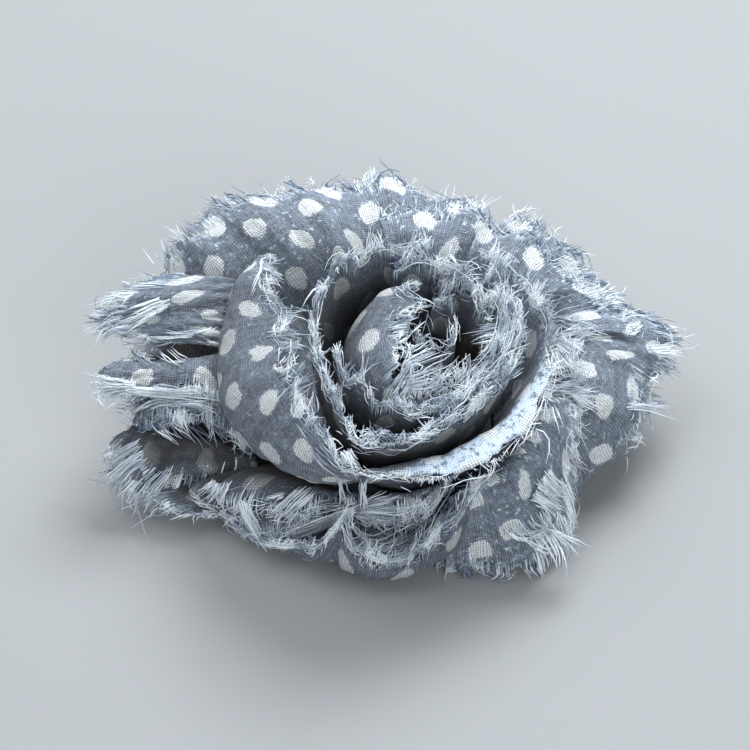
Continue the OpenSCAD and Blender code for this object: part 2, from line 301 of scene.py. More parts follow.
def chiffon():
    """Sheer charcoal chiffon on the cloth's own map, in mm: staggered woven dots, the weave's
    threads and gaps, and the raw edge, where only the threads across it are left, each with
    its own tint and length. The lip map's tone adds pale lint and, where negative, painted shade."""
    material, wire, shader = surface_material("dotted_chiffon", 0.8, sheen=0.1)
    place, along, across = map_parts(wire, "weave")
    _, inside, toned = map_parts(wire, "lip")
    # The tone's positive part is pale lint; its negative part is painted shade, for hollows and cloth under
    # folds.
    pale = toned.math("MAXIMUM", 0.0)
    deep = (toned * -1).math("MAXIMUM", 0.0)

    sway = place.noise(0.8, 3.0) - 0.5  # the threads stray from their rows
    along = along + sway * 0.5
    across = across - sway * 0.5
    cloud = place.noise(0.4, 4.0)
    fuzz = place.noise(2.2, 4.0)
    lint = place.noise(1.1, 6.0, 0.7)
    thread = (along / WEAVE).math("FLOOR")  # the number of a thread that runs across the lip
    tint = thread_chance(thread)
    ends = thread_chance(thread + 0.37)
    cross = (across / WEAVE).math("FLOOR")  # and of one that runs along it
    slub = thread_chance(cross + 0.71)
    dot = woven_dots(along, across, (fuzz - 0.5) * 0.5)
    frayed = 1 - (inside + (fuzz - 0.5) * 1.2).step(0.35, 1.0)  # 1 where the cloth has come apart
    warp = thread_profile(along) * (tint * 0.24 + 0.88)
    weft = thread_profile(across) * (slub * 0.24 + 0.88)
    weave = warp.math("MAXIMUM", weft * (1 - frayed))
    grid = (warp * 0.5 + weft * 0.5).step(0.35, 0.85)  # 1 on threads and 0 in the gaps
    cell = thread.node("CombineXYZ", {}, {"X": thread, "Y": cross})  # where two threads cross
    speck = cell.node("TexWhiteNoise", {"noise_dimensions": "2D"}, {"Vector": cell})

    worn = (cloud - 0.5) * 0.7 + (tint + slub - 1) * 0.13
    cloth = (grid * 0.45 + speck * 0.36 + worn).mix(CHARCOAL, WORN)
    dust = lint.step(0.57, 0.76) * 0.8 + (pale * 0.6 + (lint - 0.5) * 2.8).step(0.25, 0.7)
    dusty = dust.math("MINIMUM", 1.0).mix(cloth, LINT)
    white = (grid * 0.85 + speck * 0.3).mix(DOT_GREY, DOT_WHITE)
    bare = (tint * 0.8 + pale * 0.5).mix(EDGE_BLUE, EDGE_WHITE)
    unshaded = frayed.mix(dot.mix(dusty, white), dot.mix(bare, FRAYED_DOT))
    # Painted shade: the cloth is darkened towards a near-black where the lip map's tone is negative.
    colour = deep.mix(unshaded, PAINTED_SHADE_DARK)
    solid = (grid + dot * 0.5).step(0.0, 0.6) * 0.3 + 0.7
    kept = (inside - ends * 0.55).step(0.0, 0.08)  # each thread ends at its own distance
    bared = warp.step(0.35, 0.75) * kept
    plug(shader, "Base Color", colour)
    plug(shader, "Alpha", solid * (1 - frayed) + bared * frayed)
    plug(shader, "Normal", (weave + dot * 0.3 + lint * 2.5 + cloud * 3).bump(0.5, 0.0001))
    return material


def bare_thread():
    """Loose chiffon threads: each has its own tint from blue-grey to white, and they are
    white where they cross a dot."""
    material, wire, shader = surface_material("bare_thread", 0.7, sheen=0.15)
    _, tint, tip = map_parts(wire, "lip")
    place, along, across = map_parts(wire, "weave")
    fuzz = place.noise(1.5, 3.0)
    dot = woven_dots(along, across, (fuzz - 0.5) * 0.8)
    shade = tint + (fuzz - 0.5) * 0.3 + tip * 0.1 + dot * 0.8
    plug(shader, "Base Color", shade.mix(THREAD_BLUE, THREAD_WHITE))
    return material


DOTTED_CHIFFON = chiffon()
BARE_THREAD = bare_thread()

# The columns of a strip's rows, in degrees and mm, where they aren't three points' xyz.
FOOT_A, FOOT_R, FOOT_H, BELLY_R, BELLY_H, LIP_A, LIP_R, LIP_H = range(8)

# What a layer of a strip has where it doesn't say otherwise. It always says its seed, its
# wave (mm that its folds sway) and its fray (mm), and it may have rows of its own. A value
# that is a list of pairs changes along the layer.
USUAL = {
    "dots": (0, 0),  # mm that its weave and dots are moved, along and across
    "start": 0.0, "end": 1.0, "reach": 1.0,  # how much of the strip's length and width it covers
    "lift": 0.0, "curl": 0.0, "flare": 0.0,  # mm that its lip stands off, rolls over and leans out
    "pleat": 0.42, "crumple": 0.16, "ragged": 0.03,  # its gathers and dents in mm, its lip's unevenness
    "band": 0.72, "pale": 0.0,  # how far across its pale lip starts, and how pale it is
    "dusty": 0.15, "deep": 0.12,  # how pale with lint the whole of it is where positive, how much painted shade darkens all of it where negative, and how dark the painted shade in its hollow is
    "reach_out": 1.4, "tufts": 2.0,  # mm that its tufts reach out, and tufts to a mm
    "runs": 1.2, "run_long": 1.0, "spread": 1.0,  # edge threads to a mm, their length and spread
    "curls": 2.6, "white": 0.0, "fans": (),  # broken fibres to a mm, its threads' whiteness, which some layers raise as painted light and others lower as painted shade, its fans
}


def along_layer(layer, key, u):
    """One of a layer's values at u along it: a number, or a line through points (u, value)."""
    value = np.array(layer[key], float)
    return np.interp(u, value[:, 0], value[:, 1]) if value.ndim else np.full(np.shape(u), value)


def strip_base(rows, u, v):
    """A strip's plain surface: its rows are joined along u by a smooth curve through four
    neighbours, and across v each section is an arc from the foot past the belly to the lip.
    A row of nine numbers has the three points' own coordinates."""
    last = len(rows) - 1
    at = np.clip(u, 0, 1) * last
    i = np.minimum(at.astype(int), last - 1)
    t = (at - i)[..., None]
    a, b, c, d = (rows[np.clip(i + k, 0, last)] for k in (-1, 0, 1, 2))
    row = 0.5 * (2 * b + (c - a) * t + (2 * a - 5 * b + 4 * c - d) * t**2 + (3 * b - a - 3 * c + d) * t**3)
    if row.shape[-1] == 9:
        foot, belly, lip = row[..., :3], row[..., 3:6], row[..., 6:]
    else:
        foot = polar(row[..., FOOT_R], row[..., FOOT_A], row[..., FOOT_H])
        belly = polar(row[..., BELLY_R], row[..., FOOT_A], row[..., BELLY_H])
        lip = polar(row[..., LIP_R], row[..., LIP_A], row[..., LIP_H])
    v = v[..., None]
    return (1 - v) ** 2 * foot + 2 * v * (1 - v) * belly + v**2 * lip


def unit(vectors):
    """Vectors scaled to length 1."""
    return vectors / np.maximum(np.linalg.norm(vectors, axis=-1, keepdims=True), 1e-9)


def spacing(points, axis):
    """Distances from each point of a grid to the next one along an axis."""
    return np.linalg.norm(np.diff(points, axis=axis), axis=-1)


def directions(surface, u, v):
    """Unit vectors of a surface at u, v: along it, out across it, and its normal."""
    near = 1e-3
    along = unit(surface(np.minimum(u + near, 1), v) - surface(np.maximum(u - near, 0), v))
    out = unit(surface(u, v + near) - surface(u, v - near))
    return along, out, unit(np.cross(along, out))


def gathered(rows, layer):
    """A layer's surface as a function of u along and v across it, and its length near its lip.
    It is the strip's base, with an uneven lip that may flare. Along its normal it is moved by
    a lift and a curl towards the lip, by ripples for the folds, which grow towards the lip,
    and for the gathers, which fade towards it, and by products of ripples for the dents."""
    rows = np.array(layer.get("rows", rows), float)
    start, end, reach, seed = (layer[key] for key in ("start", "end", "reach", "seed"))

    def plain(u, v):
        """The base over the layer's share of the strip."""
        return strip_base(rows, start + u * (end - start), v * reach)

    fine = np.linspace(0, 1, 400)
    length = spacing(plain(fine, np.full(fine.shape, 0.9)), 0).sum()

    def base(u, v):
        """The same with its uneven lip, leaning outwards and down where it flares."""
        reached = plain(u, v * (1 + layer["ragged"] * ripple(u * length, 6.5, seed + 20)))
        turned = np.clip((v - FLARE_FROM) / (1 - FLARE_FROM), 0, 1.2) ** 1.6
        outward = unit(reached * (1, 1, 0)) - (0, 0, 0.75)
        return reached + outward * (along_layer(layer, "flare", u) * turned)[..., None]

    def surface(u, v):
        """The base, moved along its normal."""
        x = u * length
        inner = np.clip(v, 0, 1)
        normal = directions(base, u, v)[2]
        rise = layer["lift"] * inner + layer["curl"] * np.clip(inner - CURL_FROM, 0, 1) ** 2 / 0.12
        wave = layer["wave"]
        folds = wave * inner**1.5 * ripple(x, FOLDS_APART, seed)
        folds = folds + 0.4 * wave * inner**2 * ripple(x, 3.4, seed + 1)
        gathers = layer["pleat"] * (1 - 0.65 * inner) * ripple(x, GATHERS_APART, seed + 2)
        gathers = gathers * np.minimum(inner * 6, 1)
        dents = ripple(x + 9 * v, 5.0, seed + 3) * ripple(14 * v - 0.4 * x, 4.2, seed + 4)
        dents = dents + 0.5 * ripple(x - 6 * v, 2.3, seed + 12) * ripple(14 * v + 0.6 * x, 2.6, seed + 13)
        return base(u, v) + normal * (rise + folds + gathers + layer["crumple"] * dents)[..., None]

    return surface, length


def on_cloth(part, layer, x, out_by):
    """The weave map at x mm along a layer and out_by mm beyond its lip, in mm of cloth along the
    lip and out from it, moved by the layer's own offset."""
    drawn = np.interp(x / part["length"], np.linspace(0, 1, len(part["drawn"])), part["drawn"])
    return np.stack([drawn, out_by], -1) + layer["dots"]


def fray_depth(layer, u, length):
    """How far the edge is frayed, in mm, at u along it: uneven, about the layer's own depth."""
    x = u * length
    rough = 1 + 0.9 * ripple(x, 8.0, layer["seed"] + 7) + 0.5 * ripple(x, 2.6, layer["seed"] + 8)
    return along_layer(layer, "fray", u) * np.maximum(rough, 0.25)


COLUMN = 0.45  # mm from one column of a layer's points to the next
BANDS = 22  # cells from a layer's foot to its lip
NOTCH = 0.35  # mm that a lip is worn back, before its uneven notches
PAINTED_SHADE_INWARD = 7  # mm from a lip to where the painted shade in the hollow below it is darkest


def cloth_layer(rows, layer):
    """One layer of cloth as a thin closed shell: its points, faces and maps, and what its
    fringe needs. The weave map is in mm of cloth, along the lip and in from it. The lip map
    has how far inside the frayed edge a point is, and its tone, which is pale lint where positive and
    painted shade where negative."""
    surface, length = gathered(rows, layer)
    columns = int(length / COLUMN)
    u, v = np.meshgrid(np.linspace(0, 1, columns + 1), np.linspace(0, 1, BANDS + 1) ** 0.85, indexing="ij")
    width = float(spacing(surface(u, v), 1).sum(axis=1).mean())
    x, seed = u * length, layer["seed"]
    notch = np.maximum(NOTCH + 0.45 * ripple(x, 1.7, seed + 5) + 0.6 * ripple(x, 6.0, seed + 6), 0)
    v = v * (1 - notch / width)
    middle = surface(u, v)
    half = directions(surface, u, v)[2] * CHIFFON_THICK / 2
    steps, climb = spacing(middle, 0), spacing(middle, 1)
    across_cells = np.cross(middle[1:, 1:] - middle[:-1, :-1], middle[1:, :-1] - middle[:-1, 1:])
    area = np.linalg.norm(across_cells, axis=-1).sum() / 2
    # Pulled flat, a column is halfway between its mean and its longest step.
    flat = ((steps[:, 2:].mean(axis=1) + steps.max(axis=1)) / 2).sum()
    flat *= min(1, area / (LEAST_SHARE * flat * width))
    drawn = np.concatenate([[0], np.cumsum(steps[:, BANDS // 2 :].mean(axis=1))])
    inward = np.concatenate([np.cumsum(climb[:, ::-1], axis=1)[:, ::-1], u[:, :1] * 0], axis=1)
    part = {"surface": surface, "length": length, "width": width, "flat": flat, "drawn": drawn}
    weave = on_cloth(part, layer, x, -inward - notch)
    pale = along_layer(layer, "pale", u) * np.clip((v - along_layer(layer, "band", u)) / 0.1, 0, 1)
    # Painted shade, darker the further in from the lip, into the hollow below it; the tone joins it to the
    # layer's lint and overall shade.
    deep = along_layer(layer, "deep", u) * np.clip(inward / PAINTED_SHADE_INWARD, 0, 1)
    tone = pale + along_layer(layer, "dusty", u) - deep
    lip = np.stack([inward / np.maximum(fray_depth(layer, u, length), 0.05), tone], -1)

    number = np.arange(u.size).reshape(u.shape)
    outer = grid_faces(number)
    inner = outer[:, ::-1] + u.size
    ring = np.concatenate([number[:-1, 0], number[-1, :-1], number[:0:-1, -1], number[0, :0:-1]])
    after = np.roll(ring, -1)
    rim = np.stack([after, ring, ring + u.size, after + u.size], -1)
    points = np.stack([middle + half, middle - half]).reshape(-1, 3)
    maps = {"weave": np.tile(weave.reshape(-1, 2), (2, 1)), "lip": np.tile(lip.reshape(-1, 2), (2, 1))}
    return part | {"points": points, "faces": np.concatenate([outer, inner, rim]), "maps": maps}


THREAD = 0.12  # mm thickness of a bare thread


def tubes(paths, thick):
    """Thin three-sided threads round paths (thread, point, xyz), tapered to both ends and
    closed with a triangle at each: points and triangles."""
    count, steps = paths.shape[:2]
    forward = unit(np.gradient(paths, axis=1))
    side = unit(np.cross(forward, unit(np.cross(forward[:, :1], [0.3, 0.5, 0.8]))))
    other = np.cross(forward, side)
    taper = np.interp(np.linspace(0, 1, steps), [0, 0.15, 0.6, 1], [0.6, 1, 0.85, 0.25])
    radius = (thick / 2 * taper)[..., None]
    angles = (0, 2 * math.pi / 3, 4 * math.pi / 3)
    points = np.stack([paths + radius * (side * math.cos(a) + other * math.sin(a)) for a in angles], 2)
    number = np.arange(count * steps * 3).reshape(count, steps, 3)
    a, b = number[:, :-1], number[:, 1:]
    a2, b2 = np.roll(a, -1, axis=2), np.roll(b, -1, axis=2)
    walls = np.stack([np.stack([a, a2, b2], -1), np.stack([a, b2, b], -1)]).reshape(-1, 3)
    caps = np.concatenate([number[:, 0, ::-1], number[:, -1]])
    return points.reshape(-1, 3), np.concatenate([walls, caps])


def cloth_point(part, x, out_by, height):
    """Points at x mm along the lip and out_by mm beyond it, or inside it where negative, and
    height mm above the cloth."""
    u = np.clip(x / part["length"], 0.0005, 0.9995)
    v = 1 + np.minimum(out_by, 0) / part["width"]
    _, out, normal = directions(part["surface"], u, v)
    beyond = np.maximum(out_by, 0)[..., None]
    return part["surface"](u, v) + out * beyond + normal * height[..., None]


def tuft_threads(part, layer, random):
    """The threads across the raw edge, in tufts: each starts on the cloth, runs over its lip
    and goes on, leaning with its tuft and drawn to the tuft's middle. Like the next two kinds,
    it gives the paths (a row for each thread), their places on the cloth, how near each point
    is to a thread's tip, and columns of tints and thicknesses."""
    length, each, steps = part["length"], 7, 5
    tufts = int(length * layer["tufts"])
    of = np.repeat(np.arange(tufts), each)  # each thread's tuft
    tuft, thread = (tufts, 1), (len(of), 1)
    centre = random.uniform(0, length, tuft)
    long = along_layer(layer, "reach_out", centre / length) * np.minimum(random.gamma(4, 0.25, tuft), 1.8)
    lean = random.normal(0, 0.45, tuft)  # mm along the lip for each mm out
    up = random.normal(0.05, 0.3, tuft)  # mm off the cloth for each mm out
    close = random.uniform(0.3, 1.0, tuft)  # how near its threads are drawn to its middle
    felted = random.choice([1.0, 1.7], tuft, p=[0.65, 0.35])  # how thick its threads are
    face = random.choice([-1.0, 1.0], tuft, p=[0.4, 0.6])  # under or over the cloth
    root = random.normal(0, 0.5, thread)  # mm along the lip from its tuft's middle
    x = np.clip(centre[of] + root, 0, length)
    frayed = fray_depth(layer, x / length, length)
    inner = frayed * random.uniform(0.1, 1.0, thread)  # mm inside the lip where it starts
    reach = long[of] * random.beta(3, 2, thread) * 1.2 * np.clip(frayed, 0.3, 1)
    run = np.linspace(0, 1, steps) * (inner + reach)
    out_by = run - inner
    beyond = np.maximum(out_by, 0)
    curl = random.normal(0, 0.14, thread) * beyond**2
    aside = lean[of] * beyond - root * close[of] * np.minimum(beyond / long[of], 1) ** 1.2 + curl
    aside = aside + random.normal(0, 0.07, thread) * run
    wiggle = 0.06 * ripple(run + 7 * x, 1.6, layer["seed"] + 10)
    rise = face[of] * 0.17 + (up[of] + random.normal(0, 0.08, thread)) * beyond
    rise = rise + random.normal(0, 0.07, thread) * beyond**2
    at = np.repeat(x, steps, 1)
    along_x = at + aside + wiggle * (run > 0)
    along = directions(part["surface"], at / length, np.ones(at.shape))[0]
    path = cloth_point(part, at, out_by, rise) + along * (along_x - at)[..., None]
    tint = random.beta(0.6, 0.8, tuft)[of]
    return path, on_cloth(part, layer, along_x, out_by), run / run[:, -1:], tint, felted[of]


def run_threads(part, layer, random):
    """The ravelled threads that still follow the raw edge for some mm, weaving out and in and
    over and under it, with their ends springing away."""
    steps, spread = 8, layer["spread"]
    thread = (int(part["length"] * layer["runs"]), 1)
    long = random.gamma(3.0, 1.0, thread) * layer["run_long"] + 1.2
    s = np.linspace(-0.5, 0.5, steps) * long  # mm from the thread's middle
    x = random.uniform(0, part["length"], thread) + s
    wander = random.uniform(0, 50, (2, *thread))
    tip = np.abs(s) / (long / 2)
    spring = tip**3 * random.normal(0, 0.4, thread)  # mm that its ends stand away
    off = random.normal(-0.4, 0.8, thread) * spread + ripple(s + wander[0], 5.0, 11) * spread * 0.7
    up = random.normal(0.1, 0.25, thread) * spread + ripple(s + wander[1], 4.0, 12) * 0.4 * spread
    out_by = off + np.abs(spring)
    path = cloth_point(part, x, out_by, up + 0.2 * np.sign(up) + spring * 0.7)
    return path, on_cloth(part, layer, x, out_by), tip, random.beta(0.8, 0.8, thread), np.ones(thread)


def curled_threads(part, layer, random):
    """Short broken fibres that lie in tangles on and beside the raw edge, each curling over
    the cloth in a direction of its own."""
    length, steps = part["length"], 5
    thread, tangle = (int(length * layer["curls"]), 1), (max(2, int(length / 2)), 1)
    middle = random.uniform(0, length, tangle)
    of = random.integers(0, tangle[0], thread[0])  # each thread's tangle
    x = middle[of] + random.normal(0, 0.6, thread)
    out_by = random.normal(-0.3, 0.8, thread)
    long = random.gamma(3.0, 0.42, thread) + 0.4
    s = np.linspace(0, 1, steps) * long  # mm from the thread's start
    combed = random.normal(np.pi / 2, 0.8, tangle)[of]  # its tangle's heading, straight out or aslant
    heading = combed + random.normal(0, 0.45, thread) + random.normal(0, 0.3, thread) * s
    step = long / (steps - 1)
    x = x + np.cumsum(np.cos(heading) * step, axis=1)
    out_by = out_by + np.cumsum(np.sin(heading) * step, axis=1)
    face = random.choice([-1.0, 1.0], thread, p=[0.35, 0.65])
    path = cloth_point(part, x, out_by, face * (0.18 + np.abs(random.normal(0, 0.22, thread)) * s))
    tint = random.beta(0.6, 0.5, tangle)[of]
    thick = random.choice([1.0, 1.9], tangle, p=[0.6, 0.4])[of]
    return path, on_cloth(part, layer, x, out_by), s / long, tint, thick


def fan_threads(random, count, rows):
    """The long loose threads of one fan: its rows of nine numbers give the root, middle and
    tip of threads from side to side, and each thread strays a little more towards its tip."""
    steps, thread = 7, (count, 1)
    v = np.linspace(0, 1, steps) * random.uniform(0.6, 1.0, thread) + random.uniform(-0.05, 0.12, thread)
    path = strip_base(np.array(rows, float), np.repeat(random.uniform(0, 1, thread), steps, 1), v)
    path = path + random.normal(0, 0.4, (*thread, 3)) * (0.3 + v**2)[..., None]  # mm astray
    wander = random.uniform(0, 50, (3, *thread))
    path = path + np.stack([0.12 * ripple(v * 6 + part, 3.0, 14) for part in wander], -1)
    thick = random.choice([1.1, 2.0], thread, p=[0.5, 0.5])
    return path, np.broadcast_to(np.linspace(0, 1, steps), v.shape), thick


def above_floor(points):
    """Keeps points in metres just above the surface that the clip lies on, a little unevenly."""
    low, uneven = 0.0002, 0.00005
    lifted = low + uneven * np.sin(points[:, 0] * 9000) ** 2
    points[:, 2] = np.where(points[:, 2] < low, lifted, points[:, 2])
    return points


def fringe_piece(name, parts, layers):
    """All the bare threads of a strip's layers as one mesh."""
    random = np.random.default_rng(layers[0]["seed"] + 100)
    points, faces, weave, lip = [], [], [], []

    def add(path, place, tip, tint, thick):
        """Threads along paths, with their places on the cloth, and tints from 0 to 1."""
        some, triangles = tubes(path, THREAD * thick * random.uniform(0.75, 1.25, thick.shape))
        faces.append(triangles + sum(len(more) for more in points))
        points.append(some)
        weave.append(np.repeat(place.reshape(-1, 2), 3, 0))
        tint = np.clip(tint + random.normal(0, 0.12, tint.shape), 0, 1)
        shade = np.stack([np.broadcast_to(tint, tip.shape), tip], -1)
        lip.append(np.repeat(shade.reshape(-1, 2), 3, 0))

    for part, layer in zip(parts, layers):
        for kind in (tuft_threads, run_threads, curled_threads):
            path, place, tip, tint, thick = kind(part, layer, random)
            there = np.clip((place[:, :1, 0] - layer["dots"][0]) / part["drawn"][-1], 0, 1)
            tint = tint + 0.6 * along_layer(layer, "pale", there) + along_layer(layer, "white", there)
            frayed = (along_layer(layer, "fray", there) > random.uniform(0.05, 0.8, there.shape))[:, 0]
            add(*(values[frayed] for values in (path, place, tip, tint, thick)))
        for count, white, guides in layer["fans"]:
            path, tip, thick = fan_threads(random, count, guides)
            add(path, path[..., :2], tip, random.beta(1.2, 1.2, thick.shape) * 0.7 + white, thick)
    maps = {"weave": np.concatenate(weave), "lip": np.concatenate(lip)}
    points = above_floor(flower_frame(np.concatenate(points)))
    return new_piece(name, points, np.concatenate(faces), maps, BARE_THREAD)


def chiffon_strip(node, rows, layers):
    """A strip of chiffon in one or more layers, with its fringe, in place of its plain solid."""
    layers = [USUAL | layer for layer in layers]
    parts = [cloth_layer(rows, layer) for layer in layers]
    starts = np.cumsum([0] + [len(part["points"]) for part in parts])
    faces = np.concatenate([part["faces"] + start for part, start in zip(parts, starts)])
    maps = {key: np.concatenate([part["maps"][key] for part in parts]) for key in ("weave", "lip")}
    points = above_floor(flower_frame(np.concatenate([part["points"] for part in parts])))
    cloth = new_piece(node + "_chiffon", points, faces, maps, DOTTED_CHIFFON)
    fringe = fringe_piece(node + "_fringe", parts, layers)
    length = sum(part["flat"] for part in parts)
    width = sum(part["width"] * part["flat"] for part in parts) / length
    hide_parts(node)


back_petal = [
    [76, 13.2, -2.2, 20, 11, 72, 29.4, 8],
    [85, 13.2, -2.2, 20, 13, 84, 28.6, 9.4],
    [95, 13.2, -2.2, 20, 13, 96, 31, 10],
    [106, 13.2, -2.2, 19.5, 14.5, 107, 30.6, 9.6],
    [116, 13.2, -2.2, 18, 18, 118, 32.2, 10],
    [125, 13.2, -2.2, 19, 15, 127, 34.6, 8.8],
    [133, 13.2, -2.2, 22, 10, 133.4, 35.8, 8.4],
    [141, 13.2, -2.4, 25, 6, 139, 36.4, 6.4],
    [149, 13.2, -2.4, 27, 2, 144, 37, 3.4],
    [156, 13.2, -2.4, 27, -2, 148.6, 36.8, 0.2],
    [162, 13.2, -2.4, 26, -3, 153, 34, -1.2],
]
chiffon_strip("back_petal", back_petal, [
    dict(seed=21, dots=(6, 1.6), wave=0.5, pleat=0.1, crumple=0.2, curl=0.5, fray=1.8, reach_out=1.7,
         dusty=0.28),
])


# The left ruffle: a strip of the same chiffon, gathered at its foot and folded back and
# forth at the flower's left into four crumpled folds over a plain one. They lie one over
# the other, and their raw edges are ravelled far back.

def sewn_rows(radius, height, rows):
    """Rows of a strip whose foot is sewn at one radius and height, from rows without these two."""
    return [[angle, radius, height, *rest] for angle, *rest in rows]


left_under = sewn_rows(13.2, -2, [
    [150, 24, 4, 153, 31, 5],
    [160, 26, 3, 163, 34, 3.6],
    [170, 26, 0.8, 172, 33.5, 0.8],
    [180, 26, -1.6, 181, 33.5, -1.6],
    [190, 25, -3, 190, 33, -4.2],
    [200, 22, -4, 199, 30, -6],
    [207, 20, -4, 204, 25, -5.6],
])
upper_fold = [
    [-18.6, 14.2, 7.5, -23.3, 14.6, 10.5, -29.8, 14.4, 9.4],
    [-18.8, 13.5, 7.2, -24.9, 12.6, 11.4, -33.7, 13.2, 9.2],
    [-19.1, 12.4, 7, -25.8, 11.1, 11.4, -36.3, 11.5, 8.6],
    [-19.3, 11.2, 6.8, -26.7, 9.7, 10.8, -37.4, 9.7, 7.8],
    [-19.5, 10.1, 6.4, -26.9, 8.6, 9.8, -36.9, 8.4, 6.8],
    [-19.7, 8.9, 6, -26.6, 7.4, 9, -34.1, 7.4, 6.2],
    [-19.9, 7.6, 5.6, -25.3, 6, 8.4, -30, 7, 6],
    [-20.1, 6.5, 5, -23.3, 5.2, 7.6, -25.5, 6.5, 6],
]
middle_fold = [
    [-35.5, 5, 4, -37.4, 3.2, 6.6, -38.6, 2.5, 4.2],
    [-33.8, 5.7, 3.6, -35.2, 3.2, 7.6, -36.5, 0.9, 4.4],
    [-31.3, 5.6, 3.4, -32.3, 2.8, 8.4, -33.1, 0.3, 4.6],
    [-28.4, 5.8, 3.4, -28.9, 2.8, 9, -29.5, 0.5, 4.8],
    [-25.7, 6.1, 4, -25.8, 3, 9.4, -25.8, 0.2, 4.8],
    [-23.3, 6.7, 4.6, -22.9, 3, 9.6, -22.6, -0.8, 4.4],
    [-20.8, 7.4, 5, -19.9, 2.4, 9.4, -19.6, -2.5, 4],
]
mouth_fold = [
    [-31.8, 1.5, -2, -34, 0, 1.4, -33.7, -1.1, -2.2],
    [-30.9, 2.6, -0.5, -32.4, 0.6, 3.8, -32, -2, 0.2],
    [-29.2, 2.6, 0.5, -30, 0.5, 5.4, -29.6, -1.9, 1.8],
    [-26.7, 2.4, 1, -27.1, 0, 6.4, -26.9, -2.2, 2.8],
    [-24.3, 1.5, 1.2, -24.1, -1.2, 6.6, -24.2, -2.9, 3],
    [-21.5, 0.4, 1.2, -21.2, -3, 6.4, -21.5, -4.3, 2.6],
    [-19, -1.1, 1, -18.2, -4.9, 5.6, -19.2, -6, 1.8],
]
lower_fold = [
    [-30.8, 1, -3, -35.6, -2.8, 2, -37.3, -3.5, -3.4],
    [-29.8, 0, -3.2, -33.2, -3.6, 3.4, -36.2, -5.6, -5],
    [-28, -0.8, -3.2, -29.8, -4.1, 4.4, -32.7, -7.1, -6],
    [-25.8, -1.4, -3, -26.4, -4.3, 5, -28.5, -7.9, -6.4],
    [-23.3, -2.2, -2.6, -23.2, -5, 5, -24.5, -8.3, -6.4],
    [-21.1, -3.2, -2.2, -20.3, -6.4, 4.2, -21.1, -8.3, -6.2],
    [-19.3, -4.5, -1.8, -18, -7.7, 2.4, -18.1, -8.2, -5.6],
]
# Each fan has its number of threads, their whiteness, and rows from one side to the other.
left_fans = [
    (40, 0.5, [[-30.1, 10.3, 10.1, -32.8, 9.3, 9.4, -35.4, 8.2, 8],
        [-30.3, 9.5, 9.6, -32.9, 8.5, 8.6, -34.9, 7.6, 7.7],
        [-31.1, 10.7, 10.2, -33.4, 9.9, 9.6, -36.2, 9.3, 8.6]]),
    (50, 0.25, [[-35, 10.5, 9.5, -36.9, 11.8, 9.1, -38.2, 11.4, 7.9],
        [-35.2, 8.7, 8.2, -37.5, 9.2, 7, -38.3, 8.1, 5.8],
        [-34.6, 7.3, 7.2, -37.4, 7.6, 6.8, -37.8, 6.8, 5.6]]),
    (24, 0.2, [[-32.2, 6.6, 7.1, -32.5, 6.4, 5.7, -33.3, 6.1, 4.3],
        [-31.2, 6.6, 7.2, -31.7, 9.1, 1.7, -32.1, 6.5, 3.1]]),
    (60, 0.5, [[-34.1, 0.7, 6.1, -36.7, 1.5, 5.4, -38.8, 1.6, 6.7],
        [-34.1, 0.4, 5.7, -36.6, 0.4, 5.3, -38.8, 1, 4.9],
        [-33.8, 0.6, 4.6, -36.5, 0.4, 3.8, -38.2, 0.2, 3]]),
    (40, 0.5, [[-35.5, 0.4, 5.6, -31.6, 0, 5.2, -25.8, -0.3, 5.6],
        [-35.5, 0.1, 5.2, -31.5, 0.3, 4, -24.1, -0.9, 5.2]]),
    (44, 0.2, [[-34.3, 0.4, -1, -31.7, 0, 4.7, -25.8, -1.3, 4.9],
        [-28.2, -1.2, 4.6, -25.6, -1.3, 5.1, -23.5, -1.8, 3.6]]),
    (90, 0.25, [[-32.9, -3.9, 0.2, -35.8, -4.7, -1.6, -37.7, -4.8, -3.6],
        [-32.8, -5.1, -0.5, -36, -5.6, -3.8, -37.1, -6.9, -4.8],
        [-31.3, -6.3, -1.8, -33.8, -7, -4.7, -34.9, -8.2, -5.8],
        [-28.8, -6.9, -2.4, -30.5, -7.7, -5.1, -31.1, -9.1, -6.1]]),
    (5, 0.5, [[-31.4, -7.7, -5.5, -31.2, -8.6, -6.6, -32.2, -9.8, -7.3],
        [-31.2, -7.8, -5.8, -31.3, -8.7, -6.9, -31.8, -9.3, -7.6]]),
    (26, 0.3, [[-26.1, 7.5, 7.9, -28.4, 6.1, 7.7, -32.2, 7, 7.4],
        [-23.9, 8.3, 7.4, -25.1, 7.3, 6.6, -27.3, 6.3, 7.5]]),
    (16, -0.15, [[-32, -2.2, 1.6, -31.2, -3.4, 1.3, -28.5, -4.9, 0.6],
        [-28.6, -1.8, 1.6, -27.1, -2.8, 0.9, -24.6, -5, 1],
        [-24.9, -2, 1.7, -22.8, -2.9, 1, -21.1, -5.1, 0.8]]),
    (11, -0.2, [[-36.7, 5.6, 5, -35.9, 3.3, 6.6, -33.2, 1.7, 6.9],
        [-33.3, 6.2, 5.4, -32.3, 4, 6.5, -29.3, 2.4, 7.2],
        [-28.9, 6.5, 5.6, -27.8, 4.2, 7, -25.2, 2.6, 7.6]]),
]
